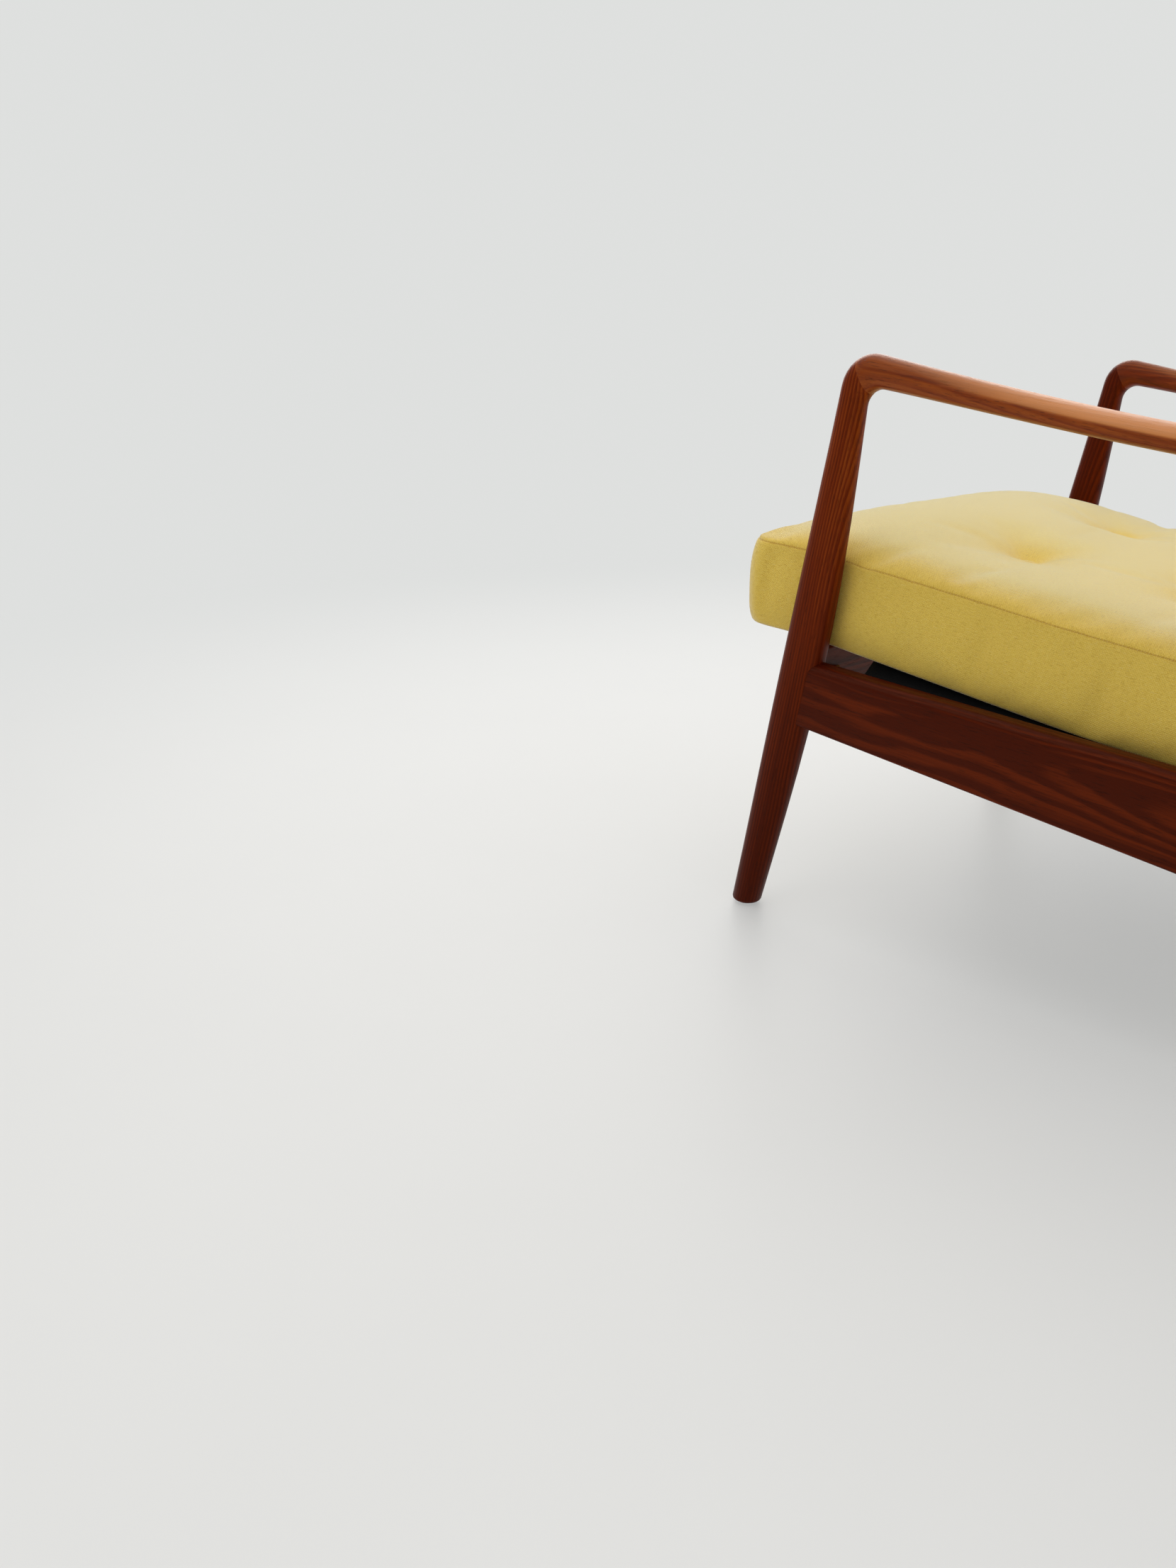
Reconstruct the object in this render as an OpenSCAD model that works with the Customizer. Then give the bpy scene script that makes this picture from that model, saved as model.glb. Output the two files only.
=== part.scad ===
// Low lounge armchair: a teak frame with mitred side frames, a slatted back, elastic seat straps and two
// loose tufted cushions. Millimetres, +Z up. The origin is on the floor under the middle of the chair, the
// front faces -Y and the sitter's left is +X. Shapes seen from the side are laid out as [depth, height]:
// depth is 0 at the centre of the front feet and grows towards the back.

/* [Side frames] */
// Distance between the centres of the left and right side frames
frame_span = 645; // [635:1:660]
// Distance between the centres of the front and rear feet
foot_base = 700; // [696:1:706]
// Lean of the front legs, in degrees towards the back as they rise
front_lean = 9.3; // [9:0.1:9.6]
// Lean of the rear legs, in degrees towards the front as they rise
rear_lean = 10.2; // [9.9:0.1:10.5]
// Height of the front knuckle's top
arm_front_h = 609.5; // [604:0.5:614]
// Height of the armrest's top at its rear end
arm_rear_h = 540; // [535:1:545]
// Width of the armrest where it is widest
arm_w = 57; // [50:1:60]

/* [Legs] */
// Diameter of a foot
foot_d = 33.5; // [31:0.5:36]
// Depth of a leg at seat height, front to back
leg_depth = 46; // [44:0.5:48]
// Width of a leg at seat height, side to side
leg_w = 34; // [33:0.5:35]
// Depth of a leg just under its knuckle
neck_depth = 28; // [26:0.5:30]
// Width of a leg and an armrest at the knuckles
neck_w = 29; // [27:0.5:30]

/* [Knuckles] */
// Radius of the outside of the front knuckle
front_knuckle_r = 32; // [30:0.5:34]
// Radius of the inside of both knuckles
knuckle_fillet_r = 19; // [17:0.5:21]
// Radius of the outside of the rear knuckle
rear_knuckle_r = 34; // [32:0.5:36]

/* [Seat frame] */
// Thickness of every rail of the seat frame
rail_t = 24; // [23:0.5:25]
// Height of the side rail's top edge at the front leg
side_rail_front_top = 301.5; // [299:0.5:304]
// Height of the side rail's bottom edge at the front leg
side_rail_front_bottom = 232; // [229:0.5:235]
// Height of the side rail's top edge at the rear leg
side_rail_rear_top = 258.5; // [256:0.5:261]
// Height of the side rail's bottom edge at the rear leg
side_rail_rear_bottom = 160.5; // [158:0.5:163]
// Height of the middle of the front seat rail
front_rail_z = 280.5; // [278:0.5:283]
// Width of the front and rear seat rails, top to bottom
seat_rail_h = 74; // [70:1:76]

/* [Back frame] */
// Recline of the back, in degrees from upright
recline = 20; // [19:0.5:21]
// Depth at which the middle of the back frame passes its reference height
back_depth = 573; // [571:0.5:575]
// Height of the crest rail's top above the reference height, along the back
back_reach = 585; // [560:1:600]
// Width of the crest rail, top to bottom
crest_h = 60; // [52:1:66]
// How far the back rails bow backwards in the middle
back_bow = 14; // [8:1:18]
// Width of a back slat
slat_w = 34; // [26:1:40]

/* [Seat straps] */
// Width of an elastic strap
strap_w = 45; // [38:1:48]
// Distance between the middles of two neighbouring straps
strap_pitch = 82; // [78:1:84]

/* [Cushions] */
// Width of the seat cushion
seat_w = 609; // [590:1:609]
// Length of the seat cushion along its slope
seat_len = 589; // [575:1:590]
// Height of the seat cushion's seam above its underside
seat_seam_h = 91; // [84:1:95]
// Rise of the cushions' crowns above their seams
crown_h = 40; // [25:1:44]
// Width of the back cushion
back_w = 570; // [540:1:572]
// Length of the back cushion, bottom to top
back_len = 510; // [480:1:520]
// Depth of the back cushion's sides
back_seam_h = 84; // [74:1:86]
// Distance between the two columns of tufts
tuft_span = 250; // [220:1:280]

/* [Hidden] */
$fn = 48;

teak = "#7c3a1d";
beech = "#c9a06c";
steel = "#9a9c9e";
brass = "#b59a4c";
webbing = "#1b1a19";
cotton = "#141312";
wool = "#c9a94e";
foam = "#e6dcb4";

// Working clearances
fit = 0.1;
seat_gap = 0.5;
tiny = 0.01;

// Lofts: corners of a leg or armrest ring, and rings along each stretch
ring_sides = 32;
leg_steps = 10;
arm_steps = 22;
knuckle_steps = 8;
mitre_step = knuckle_steps / 2;

// Feet
glide_h = 3;
glide_r = 11;
glide_flat_r = 8.5;
glide_pin_r = 1.5;
glide_pin_len = 16;
foot_round = 4;
foot_round_steps = 3;

// Legs: outline exponents, 2 being an ellipse, and the height of the deepest section over the knuckle's
foot_form = 2;
leg_form = 2.7;
knuckle_form = 2.3;
paddle_form = 2.9;
deepest = 0.52;
side_x = frame_span / 2;

// Armrest: thickness under its top line, how far along it is widest, and how much of it is crown
arm_t_front = 23;
arm_t_rear = 21.5;
arm_widest = 0.6;
arm_rear_w = 40;
arm_crown = 0.66;
arm_crown_ramp = 0.25;
arm_top_front_pull = [130, -27.5];
arm_top_rear_pull = [-160, 5];

// Mitre splines, in the plane of a side frame
spline_t = 4;
spline_len = 30;
spline_w = 20;

// Side rails
rail_x = side_x + 2;
rail_in_x = rail_x - rail_t / 2;
rail_out_x = rail_x + rail_t / 2;
rail_setback = 12;
rail_round = 9;
rail_arris = 3;
rail_tenon_t = 10;
rail_tenon_len = 18;
rail_tenon_margin = 10;

// Seat rails
seat_rail_round = 4;
rail_corner_steps = 5;
front_rail_housing = 3;
front_tenon_len = 12;
front_tenon_t = 10;
front_tenon_margin = 12;
leg_in_x = side_x - leg_w / 2;
rear_rail_top = -50;

// Back frame: local y runs backwards from the middle of the stiles, local z along the recline
back_ref_z = 300;
stile_x = 291.5;
stile_w = 25;
stile_t = 24;
stile_top_w = 22;
stile_top_t = 20;
stile_round = 5;
stile_low = -122;
crest_z = back_reach - crest_h;
crest_half = 306;
crest_t = 22;
crest_round = 8;
crest_steps = 24;
crest_end_steps = 3;
crest_end_drop = 10;
bottom_rail_z = -20;
bottom_rail_h = 50;
bottom_rail_t = 20;
bottom_tenon_len = 14;
bottom_tenon_margin = 8;
slat_count = 6;
slat_t = 12;
slat_round = 4;
slat_tenon_t = 8;
slat_tenon_w = slat_w - 8;
slat_tenon_len = 14;
rear_rail_y = stile_t / 2 + fit + rail_t / 2;

// Dowels, blocks, screws and bolts
dowel_r = 4;
dowel_len = 30;
dowel_zs = [-98, -66];
crest_dowel_r = 5;
crest_dowel_len = 44;
block_leg = 44;
block_h = 44;
front_block_z = -12;
rear_block_z = -84;
screw_r = 2;
screw_head_r = 4;
screw_head_h = 3;
screw_bite = 15;
screw_inset = 19;
screw_rise = 9;
bolt_r = 3;
bolt_head_r = 6;
bolt_head_h = 4;
bolt_slot_w = 1.6;
washer_r = 8;
washer_t = 1.2;
insert_r = 5.5;
insert_len = 14;
collar_r = 8;
low_bolt_z = -86;
spotface_x = side_x - leg_w / 2 + 2;

// Straps and clips
strap_count = 7;
strap_t = 2.5;
clip_wall = 1;
clip_h = 12;
groove_w = strap_t + 2 * clip_wall + 0.6;
groove_depth = 16;
groove_half = 3.5 * strap_pitch + 1;
strap_end_gap = 2.5;

// Platform cloth: flat over the straps, then down to the side rails' inner faces, where tacks hold its hems
cloth_t = 0.8;
cloth_front = 116;
cloth_rear = 536;
cloth_flat_x = 272;
cloth_drop = 14;
cloth_least_fall = 6;
cloth_hem = 8;
cloth_steps = 14;
tack_count = 8;
tack_head_r = 3.5;
tack_head_h = 1.2;
tack_r = 0.8;
tack_len = 9;
tack_fn = 16;

// Cushions
cover_t = 1.6;
corner_r = 26;
corner_steps = 6;
edge_roll = 12;
roll_steps = 2;
crown_steps = 6;
crown_inset = 0.62;
crown_power = 2.6;
crown_spread = 1.5;
tuft_depth = 36;
button_r = 11;
button_h = 5;
button_rim = 1;
well_r = 15;
twine_r = 1.2;
twine_bore_r = 2.5;
zip_len = 380;
zip_w = 12;
zip_slider_t = 2.6;
seat_tuft_rows = [233, 430];
back_tuft_rows = [175, 350];
seat_front = -44;
back_cushion_z = 45;

// Places along the side frame

function spow(v, p) = sign(v) * pow(abs(v), p);
function mix(a, b, s) = a + (b - a) * s;
function ease(s) = s * s * (3 - 2 * s);
function dir(a) = [cos(a), sin(a)];
function cubic(p, t) =
    pow(1 - t, 3) * p[0] + 3 * pow(1 - t, 2) * t * p[1] + 3 * (1 - t) * t * t * p[2] + pow(t, 3) * p[3];

// The outer edges of both legs are straight, and the depth of a leg swells from foot to seat and thins above
function leg_depth_at(f) = f < deepest
    ? mix(foot_d, leg_depth, sin(90 * f / deepest))
    : mix(neck_depth, leg_depth, cos(90 * (f - deepest) / (1 - deepest)));
function leg_w_at(f) = f < deepest
    ? mix(foot_d, leg_w, ease(f / deepest))
    : mix(leg_w, neck_w, ease((f - deepest) / (1 - deepest)));
function leg_form_at(f) = f < deepest
    ? mix(foot_form, leg_form, ease(f / deepest))
    : mix(leg_form, knuckle_form, ease((f - deepest) / (1 - deepest)));
function front_outer(z) = [z * tan(front_lean) - foot_d / 2, z];
function rear_outer(z) = [foot_base + foot_d / 2 - z * tan(rear_lean), z];
function front_axis(z) = front_outer(z)[0] + leg_depth / 2;
function rear_axis(z) = rear_outer(z)[0] - leg_depth / 2;

// Centres of the arcs outside and inside each knuckle
front_arc_z = arm_front_h - front_knuckle_r;
front_arc = [front_outer(front_arc_z)[0] + front_knuckle_r / cos(front_lean), front_arc_z];
rear_arc_z = arm_rear_h - rear_knuckle_r;
rear_arc = [rear_outer(rear_arc_z)[0] - rear_knuckle_r / cos(rear_lean), rear_arc_z];
knuckle_t = 32.5;
front_fillet_z = arm_front_h - knuckle_t - knuckle_fillet_r;
front_fillet = [front_outer(front_fillet_z)[0] + neck_depth + knuckle_fillet_r, front_fillet_z];
rear_knuckle_t = 25;
rear_fillet_z = arm_rear_h - rear_knuckle_t - knuckle_fillet_r;
rear_fillet = [rear_outer(rear_fillet_z)[0] - neck_depth - knuckle_fillet_r, rear_fillet_z];

// Directions in which the knuckles' arcs start and end
front_turn_start = 180 - front_lean;
front_turn_end = 90 - 12;
front_fillet_start = 176.5;
front_fillet_end = 84.5;
rear_turn_start = 88.3;
rear_turn_end = rear_lean;
rear_fillet_start = 91;
rear_fillet_end = 3.5;

function front_knuckle(k) = let (s = k / knuckle_steps) [
    front_arc + front_knuckle_r * dir(mix(front_turn_start, front_turn_end, s)),
    front_fillet + knuckle_fillet_r * dir(mix(front_fillet_start, front_fillet_end, s))];
function rear_knuckle(k) = let (s = k / knuckle_steps) [
    rear_arc + rear_knuckle_r * dir(mix(rear_turn_start, rear_turn_end, s)),
    rear_fillet + knuckle_fillet_r * dir(mix(rear_fillet_start, rear_fillet_end, s))];

// The front-most and rear-most points of the chair, which set the origin midway between them
crest_back = back_depth + back_reach * sin(recline) + (back_bow + crest_t / 2) * cos(recline);
depth_mid = (seat_front + crest_back) / 2;

// A ring of a side frame's loft between an outer and an inner point, as a superellipse whose outer half can
// fall away from a crown
function frame_ring(pair, width, form, crown = 0) =
    let (mid = (pair[0] + pair[1]) / 2, half = (pair[0] - pair[1]) / 2)
    [for (i = [0:ring_sides - 1])
        let (a = 360 * i / ring_sides,
             u = spow(cos(a), 2 / form),
             v = spow(sin(a), 2 / form) * (sin(a) > 0 ? 1 - crown * u * u : 1),
             p = mid + v * half)
        [side_x + u * width / 2, p[0] - depth_mid, p[1]]];

// Rings of a leg from its rounded foot up to the mitre, given its outer edge and its knuckle's first pair
function leg_rings(front) =
    let (lift = glide_h,
         low = lift + foot_round,
         top = front ? front_knuckle(0) : rear_knuckle(knuckle_steps),
         inward = front ? 1 : -1,
         foot = front ? front_outer(low)[0] + foot_d / 2 : rear_outer(low)[0] - foot_d / 2)
    concat(
        [for (k = [0:foot_round_steps - 1])
            let (a = 90 * k / foot_round_steps,
                 r = foot_d / 2 - foot_round * (1 - sin(a)),
                 z = lift + foot_round * (1 - cos(a)))
            frame_ring([[foot - inward * r, z], [foot + inward * r, z]], 2 * r, foot_form)],
        [for (i = [0:leg_steps])
            let (s = i / leg_steps,
                 z_out = mix(low, top[0][1], s),
                 z_in = mix(low, top[1][1], s),
                 f = z_in / top[1][1],
                 outer = front ? front_outer(z_out) : rear_outer(z_out),
                 inner_base = front ? front_outer(z_in) : rear_outer(z_in),
                 inner = i == leg_steps ? top[1] : inner_base + [inward * leg_depth_at(f), 0])
            frame_ring([outer, inner], leg_w_at(f), leg_form_at(f))],
        [for (k = [1:mitre_step])
            frame_ring(front ? front_knuckle(k) : rear_knuckle(knuckle_steps - k), neck_w, knuckle_form)]);

arm_top = let (a = front_knuckle(knuckle_steps)[0], b = rear_knuckle(0)[0])
    [a, a + arm_top_front_pull, b + arm_top_rear_pull, b];
arm_under = let (a = front_knuckle(knuckle_steps)[1], b = rear_knuckle(0)[1])
    [a, arm_top[1] - [0, arm_t_front], arm_top[2] - [0, arm_t_rear], b];
function arm_w_at(s) = s < arm_widest
    ? mix(neck_w, arm_w, ease(s / arm_widest))
    : mix(arm_w, arm_rear_w, ease((s - arm_widest) / (1 - arm_widest)));
function arm_crown_at(s) = arm_crown * ease(min(1, min(s, 1 - s) / arm_crown_ramp));
function arm_form_at(s) = mix(knuckle_form, paddle_form, ease(min(1, min(s, 1 - s) / arm_crown_ramp)));

arm_rings = concat(
    [for (k = [mitre_step:knuckle_steps - 1]) frame_ring(front_knuckle(k), neck_w, knuckle_form)],
    [for (i = [0:arm_steps])
        let (s = i / arm_steps)
        frame_ring([cubic(arm_top, s), cubic(arm_under, s)], arm_w_at(s), arm_form_at(s), arm_crown_at(s))],
    [for (k = [1:mitre_step])
        frame_ring(rear_knuckle(k), mix(arm_rear_w, neck_w, ease(k / mitre_step)), knuckle_form)]);

// Shared building blocks

module left_or_right(side) {
    if (side > 0)
        children();
    else
        mirror([1, 0, 0]) children();
}

function reversed(list) = [for (i = [len(list) - 1:-1:0]) list[i]];

// Skins a list of rings with the same number of corners into a closed solid. The corners run anticlockwise
// as seen from ahead, looking back along the rings.
module loft(rings) {
    sides = len(rings[0]);
    last = (len(rings) - 1) * sides;
    points = [for (ring = rings, p = ring) p];
    walls = [for (k = [0:len(rings) - 2], i = [0:sides - 1])
        let (a = k * sides + i, b = k * sides + (i + 1) % sides)
        each [[b, a, a + sides], [b, a + sides, b + sides]]];
    start = [[for (i = [0:sides - 1]) i]];
    finish = [[for (i = [sides - 1:-1:0]) last + i]];
    polyhedron(points, concat(start, walls, finish));
}

// A flat piece standing in a side frame's plane, cut to an outline of [depth, height] points
module plate(outline, x0, x1) {
    translate([x0, -depth_mid, 0])
        rotate([90, 0, 90])
            linear_extrude(x1 - x0)
                polygon(outline);
}

// Outline of a rectangle from low to high with rounded corners, counter-clockwise from its far top corner
function rounded_box(low, high, r, steps = rail_corner_steps) =
    [for (q = [0:3], k = [0:steps])
        let (a = 90 * q + 90 * k / steps,
             cx = q == 0 || q == 3 ? high[0] - r : low[0] + r,
             cy = q < 2 ? high[1] - r : low[1] + r)
        [cx + r * cos(a), cy + r * sin(a)]];

// A board along X with rounded long edges, its section given in y and z
module board(low, high, r, x0, x1) {
    translate([x0, 0, 0])
        rotate([90, 0, 90])
            linear_extrude(x1 - x0)
                polygon(rounded_box(low, high, r));
}

module box_between(low, high) {
    translate(low)
        cube(high - low);
}

// Frames of reference of the leaning front rail, the back frame and the seat cushion
module in_front_rail() {
    translate([0, front_axis(front_rail_z) - depth_mid, front_rail_z])
        rotate([-front_lean, 0, 0])
            children();
}

module in_back_frame() {
    translate([0, back_depth - depth_mid, back_ref_z])
        rotate([-recline, 0, 0])
            children();
}

// The same two frames as functions, from local [y, z] to [depth, height]
function turned(p, a) = [p[0] * cos(a) + p[1] * sin(a), p[1] * cos(a) - p[0] * sin(a)];
function front_rail_point(p) = [front_axis(front_rail_z), front_rail_z] + turned(p, front_lean);
function back_point(p) = [back_depth, back_ref_z] + turned(p, recline);

// The straps lie from the front rail's inner top edge to the rear rail's
strap_front = front_rail_point([rail_t / 2, seat_rail_h / 2 + strap_t / 2 + fit]);
strap_rear = back_point([rear_rail_y - rail_t / 2, rear_rail_top + strap_t / 2 + fit]);
seat_slope = atan2(strap_front[1] - strap_rear[1], strap_rear[0] - strap_front[0]);
seat_z = strap_front[1] + (strap_front[0] - seat_front) * tan(seat_slope)
    + (strap_t / 2 + fit + cloth_t + seat_gap) / cos(seat_slope);

// Underside of the platform cloth over the straps, and the top of its hem at the side rails
function cloth_z(d) =
    strap_front[1] - (d - strap_front[0]) * tan(seat_slope) + (strap_t / 2 + fit) / cos(seat_slope);
side_rail_front_d = front_axis(side_rail_front_top) + rail_setback;
side_rail_rear_d = rear_axis(side_rail_rear_top) - rail_setback;
function rail_top_at(d) = mix(side_rail_front_top, side_rail_rear_top,
    (d - side_rail_front_d) / (side_rail_rear_d - side_rail_front_d));
function hem_z(d) = min(rail_top_at(d) - cloth_drop, cloth_z(d) - cloth_least_fall);

module in_seat_cushion() {
    translate([0, seat_front - depth_mid, seat_z])
        rotate([-seat_slope, 0, 0])
            children();
}

// The back cushion stands on its lower edge: its underside faces the back frame and its crown the sitter
module in_back_cushion() {
    in_back_frame()
        translate([0, -stile_t / 2 - seat_gap, back_cushion_z])
            rotate([90, 0, 0])
                children();
}

// Side frames

module leg_blank(front) {
    rings = leg_rings(front);
    loft(front ? reversed(rings) : rings);
}

function side_rail_ring(low, high, grow) =
    let (x0 = rail_in_x - grow, x1 = rail_out_x + grow, z0 = low - grow, z1 = high + grow)
    concat(
        [for (k = [0:rail_corner_steps])
            let (a = 90 * k / rail_corner_steps)
            [x1 - rail_round + rail_round * cos(a), z1 - rail_round + rail_round * sin(a)]],
        [for (k = [0:rail_corner_steps])
            let (a = 90 + 90 * k / rail_corner_steps)
            [x0 + rail_arris + rail_arris * cos(a), z1 - rail_arris + rail_arris * sin(a)]],
        [for (k = [0:rail_corner_steps])
            let (a = 180 + 90 * k / rail_corner_steps)
            [x0 + rail_arris + rail_arris * cos(a), z0 + rail_arris + rail_arris * sin(a)]],
        [for (k = [0:rail_corner_steps])
            let (a = 270 + 90 * k / rail_corner_steps)
            [x1 - rail_arris + rail_arris * cos(a), z0 + rail_arris + rail_arris * sin(a)]]);

// The rail's ends follow the lean of the legs that house them
module side_rail_blank(grow = 0) {
    front = [for (p = side_rail_ring(side_rail_front_bottom, side_rail_front_top, grow))
        [p[0], front_axis(p[1]) + rail_setback - grow - depth_mid, p[1]]];
    rear = [for (p = side_rail_ring(side_rail_rear_bottom, side_rail_rear_top, grow))
        [p[0], rear_axis(p[1]) - rail_setback + grow - depth_mid, p[1]]];
    loft([rear, front]);
}

module side_rail_tenon(front, grow = 0) {
    low = (front ? side_rail_front_bottom : side_rail_rear_bottom) + rail_tenon_margin - grow;
    high = (front ? side_rail_front_top : side_rail_rear_top) - rail_tenon_margin + grow;
    root = front ? rail_setback + 1 : -rail_setback - 1;
    tip = front ? rail_setback - rail_tenon_len - grow : rail_tenon_len - rail_setback + grow;
    outline = [for (c = [[root, low], [tip, low], [tip, high], [root, high]])
        [(front ? front_axis(c[1]) : rear_axis(c[1])) + c[0], c[1]]];
    plate(outline, rail_x - rail_tenon_t / 2 - grow, rail_x + rail_tenon_t / 2 + grow);
}

// A spline crosses each mitre: it stands in the side frame's plane, square to the joint
module mitre_spline(front, grow = 0) {
    pair = front ? front_knuckle(mitre_step) : rear_knuckle(mitre_step);
    mid = (pair[0] + pair[1]) / 2;
    along = pair[0] - pair[1];
    translate([side_x, mid[0] - depth_mid, mid[1]])
        rotate([atan2(along[1], along[0]), 0, 0])
            cube([spline_t + 2 * grow, spline_w + 2 * grow, spline_len + 2 * grow], center = true);
}

module glide_hole(front) {
    foot = front ? front_outer(0)[0] + foot_d / 2 : rear_outer(0)[0] - foot_d / 2;
    translate([side_x, foot - depth_mid, 0])
        cylinder(r = glide_pin_r + fit, h = glide_h + glide_pin_len + 1);
}

module front_leg(side) {
    color(teak)
        left_or_right(side)
            difference() {
                leg_blank(true);
                side_rail_blank(fit);
                side_rail_tenon(true, fit);
                in_front_rail() {
                    front_rail_body(fit);
                    front_rail_tenon(1, fit);
                }
                mitre_spline(true, fit);
                glide_hole(true);
            }
}

module rear_leg(side) {
    color(teak)
        left_or_right(side)
            difference() {
                leg_blank(false);
                side_rail_blank(fit);
                side_rail_tenon(false, fit);
                mitre_spline(false, fit);
                glide_hole(false);
                at_high_bolt() {
                    translate([0, 0, stile_x])
                        cylinder(r = collar_r + fit, h = spotface_x - stile_x);
                    cylinder(r = insert_r + fit, h = spotface_x + insert_len + fit);
                    cylinder(r = bolt_r + fit, h = high_bolt_tip + fit);
                }
            }
}

module armrest(side) {
    color(teak)
        left_or_right(side)
            difference() {
                loft(reversed(arm_rings));
                mitre_spline(true, fit);
                mitre_spline(false, fit);
            }
}

module mitre_splines() {
    color(beech)
        for (side = [1, -1])
            left_or_right(side) {
                mitre_spline(true);
                mitre_spline(false);
            }
}

module side_rail(side) {
    color(teak)
        left_or_right(side)
            difference() {
                union() {
                    side_rail_blank();
                    side_rail_tenon(true);
                    side_rail_tenon(false);
                }
                rear_rail_dowel_pair(fit);
                in_front_rail()
                    front_block_side_screw(fit);
                in_back_frame()
                    rear_block_side_screw(fit);
                hem_tacks(fit);
            }
}

// A domed glide under each foot, held by its pin
module foot_glides() {
    profile = [[0, 0], [glide_flat_r, 0], [glide_r, glide_h - 1], [glide_r, glide_h - tiny],
        [glide_pin_r, glide_h - tiny], [glide_pin_r, glide_h + glide_pin_len], [0, glide_h + glide_pin_len]];
    color(steel)
        for (side = [1, -1], foot = [front_outer(0)[0] + foot_d / 2, rear_outer(0)[0] - foot_d / 2])
            translate([side * side_x, foot - depth_mid, 0])
                rotate_extrude()
                    polygon(profile);
}

// Seat frame

module front_rail_body(grow = 0) {
    end = leg_in_x + front_rail_housing + grow;
    board([-rail_t / 2 - grow, -seat_rail_h / 2 - grow], [rail_t / 2 + grow, seat_rail_h / 2 + grow],
        seat_rail_round, -end, end);
}

module front_rail_tenon(side, grow = 0) {
    root = leg_in_x + front_rail_housing - 1;
    tip = leg_in_x + front_tenon_len + grow;
    reach = seat_rail_h / 2 - front_tenon_margin + grow;
    left_or_right(side)
        box_between([root, -front_tenon_t / 2 - grow, -reach], [tip, front_tenon_t / 2 + grow, reach]);
}

module front_seat_rail() {
    color(teak)
        in_front_rail()
            difference() {
                union() {
                    front_rail_body();
                    front_rail_tenon(1);
                    front_rail_tenon(-1);
                }
                box_between([-groove_half, -groove_w / 2, seat_rail_h / 2 - groove_depth],
                    [groove_half, groove_w / 2, seat_rail_h]);
                for (side = [1, -1])
                    left_or_right(side)
                        front_block_rail_screw(fit);
            }
}

module rear_rail_body() {
    board([rear_rail_y - rail_t / 2, rear_rail_top - seat_rail_h], [rear_rail_y + rail_t / 2, rear_rail_top],
        seat_rail_round, -rail_in_x + fit, rail_in_x - fit);
}

module rear_rail_dowel_pair(grow = 0) {
    in_back_frame()
        for (z = dowel_zs)
            translate([rail_in_x - dowel_len / 2 - grow, rear_rail_y, z])
                rotate([0, 90, 0])
                    cylinder(r = dowel_r + grow, h = dowel_len + 2 * grow);
}

module rear_seat_rail() {
    color(teak)
        difference() {
            in_back_frame()
                difference() {
                    rear_rail_body();
                    box_between([-groove_half, rear_rail_y - groove_w / 2, rear_rail_top - groove_depth],
                        [groove_half, rear_rail_y + groove_w / 2, rear_rail_top + groove_depth]);
                    for (side = [1, -1])
                        left_or_right(side) {
                            rear_block_rail_screw(fit);
                            at_low_bolt() {
                                cylinder(r = insert_r + fit, h = stile_t + 1 + insert_len + fit);
                                cylinder(r = bolt_r + fit, h = low_bolt_tip + fit);
                            }
                        }
                }
            for (side = [1, -1])
                left_or_right(side)
                    rear_rail_dowel_pair(fit);
        }
}

module rear_rail_dowels() {
    color(beech)
        for (side = [1, -1])
            left_or_right(side)
                rear_rail_dowel_pair();
}

// A triangular glue block, its right angle towards +X and -Y
module corner_block() {
    linear_extrude(block_h, center = true)
        polygon([[0, 0], [-block_leg, 0], [0, block_leg]]);
}

// A countersunk wood screw whose head starts at the origin and whose point is along +Z
module wood_screw(len, grow = 0) {
    rotate_extrude()
        polygon([[0, 0], [screw_head_r + grow, 0], [screw_r + grow, screw_head_h],
            [screw_r + grow, len - screw_head_h + grow], [0, len + grow]]);
}

front_block_y = rail_t / 2 + fit;
rear_block_y = rear_rail_y + rail_t / 2 + fit;
block_x = rail_in_x - fit;
screw_through = block_leg - screw_inset;

module front_block_side_screw(grow = 0) {
    translate([block_x - screw_through, front_block_y + screw_inset, front_block_z + screw_rise])
        rotate([0, 90, 0])
            wood_screw(screw_through + screw_bite, grow);
}

module front_block_rail_screw(grow = 0) {
    translate([block_x - screw_inset, front_block_y + screw_through, front_block_z - screw_rise])
        rotate([90, 0, 0])
            wood_screw(screw_through + screw_bite, grow);
}

module rear_block_side_screw(grow = 0) {
    translate([block_x - screw_through, rear_block_y + screw_inset, rear_block_z + screw_rise])
        rotate([0, 90, 0])
            wood_screw(screw_through + screw_bite, grow);
}

module rear_block_rail_screw(grow = 0) {
    translate([block_x - screw_inset, rear_block_y + screw_through, rear_block_z - screw_rise])
        rotate([90, 0, 0])
            wood_screw(screw_through + screw_bite, grow);
}

module seat_corner_blocks() {
    color(beech)
        for (side = [1, -1])
            left_or_right(side) {
                in_front_rail()
                    difference() {
                        translate([block_x, front_block_y, front_block_z])
                            corner_block();
                        front_block_side_screw(fit);
                        front_block_rail_screw(fit);
                    }
                in_back_frame()
                    difference() {
                        translate([block_x, rear_block_y, rear_block_z])
                            corner_block();
                        rear_block_side_screw(fit);
                        rear_block_rail_screw(fit);
                    }
            }
}

module corner_block_screws() {
    color(steel)
        for (side = [1, -1])
            left_or_right(side) {
                in_front_rail() {
                    front_block_side_screw();
                    front_block_rail_screw();
                }
                in_back_frame() {
                    rear_block_side_screw();
                    rear_block_rail_screw();
                }
            }
}

// Back frame

function bow_at(x) = back_bow * (1 - pow(x / stile_x, 2));

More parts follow.
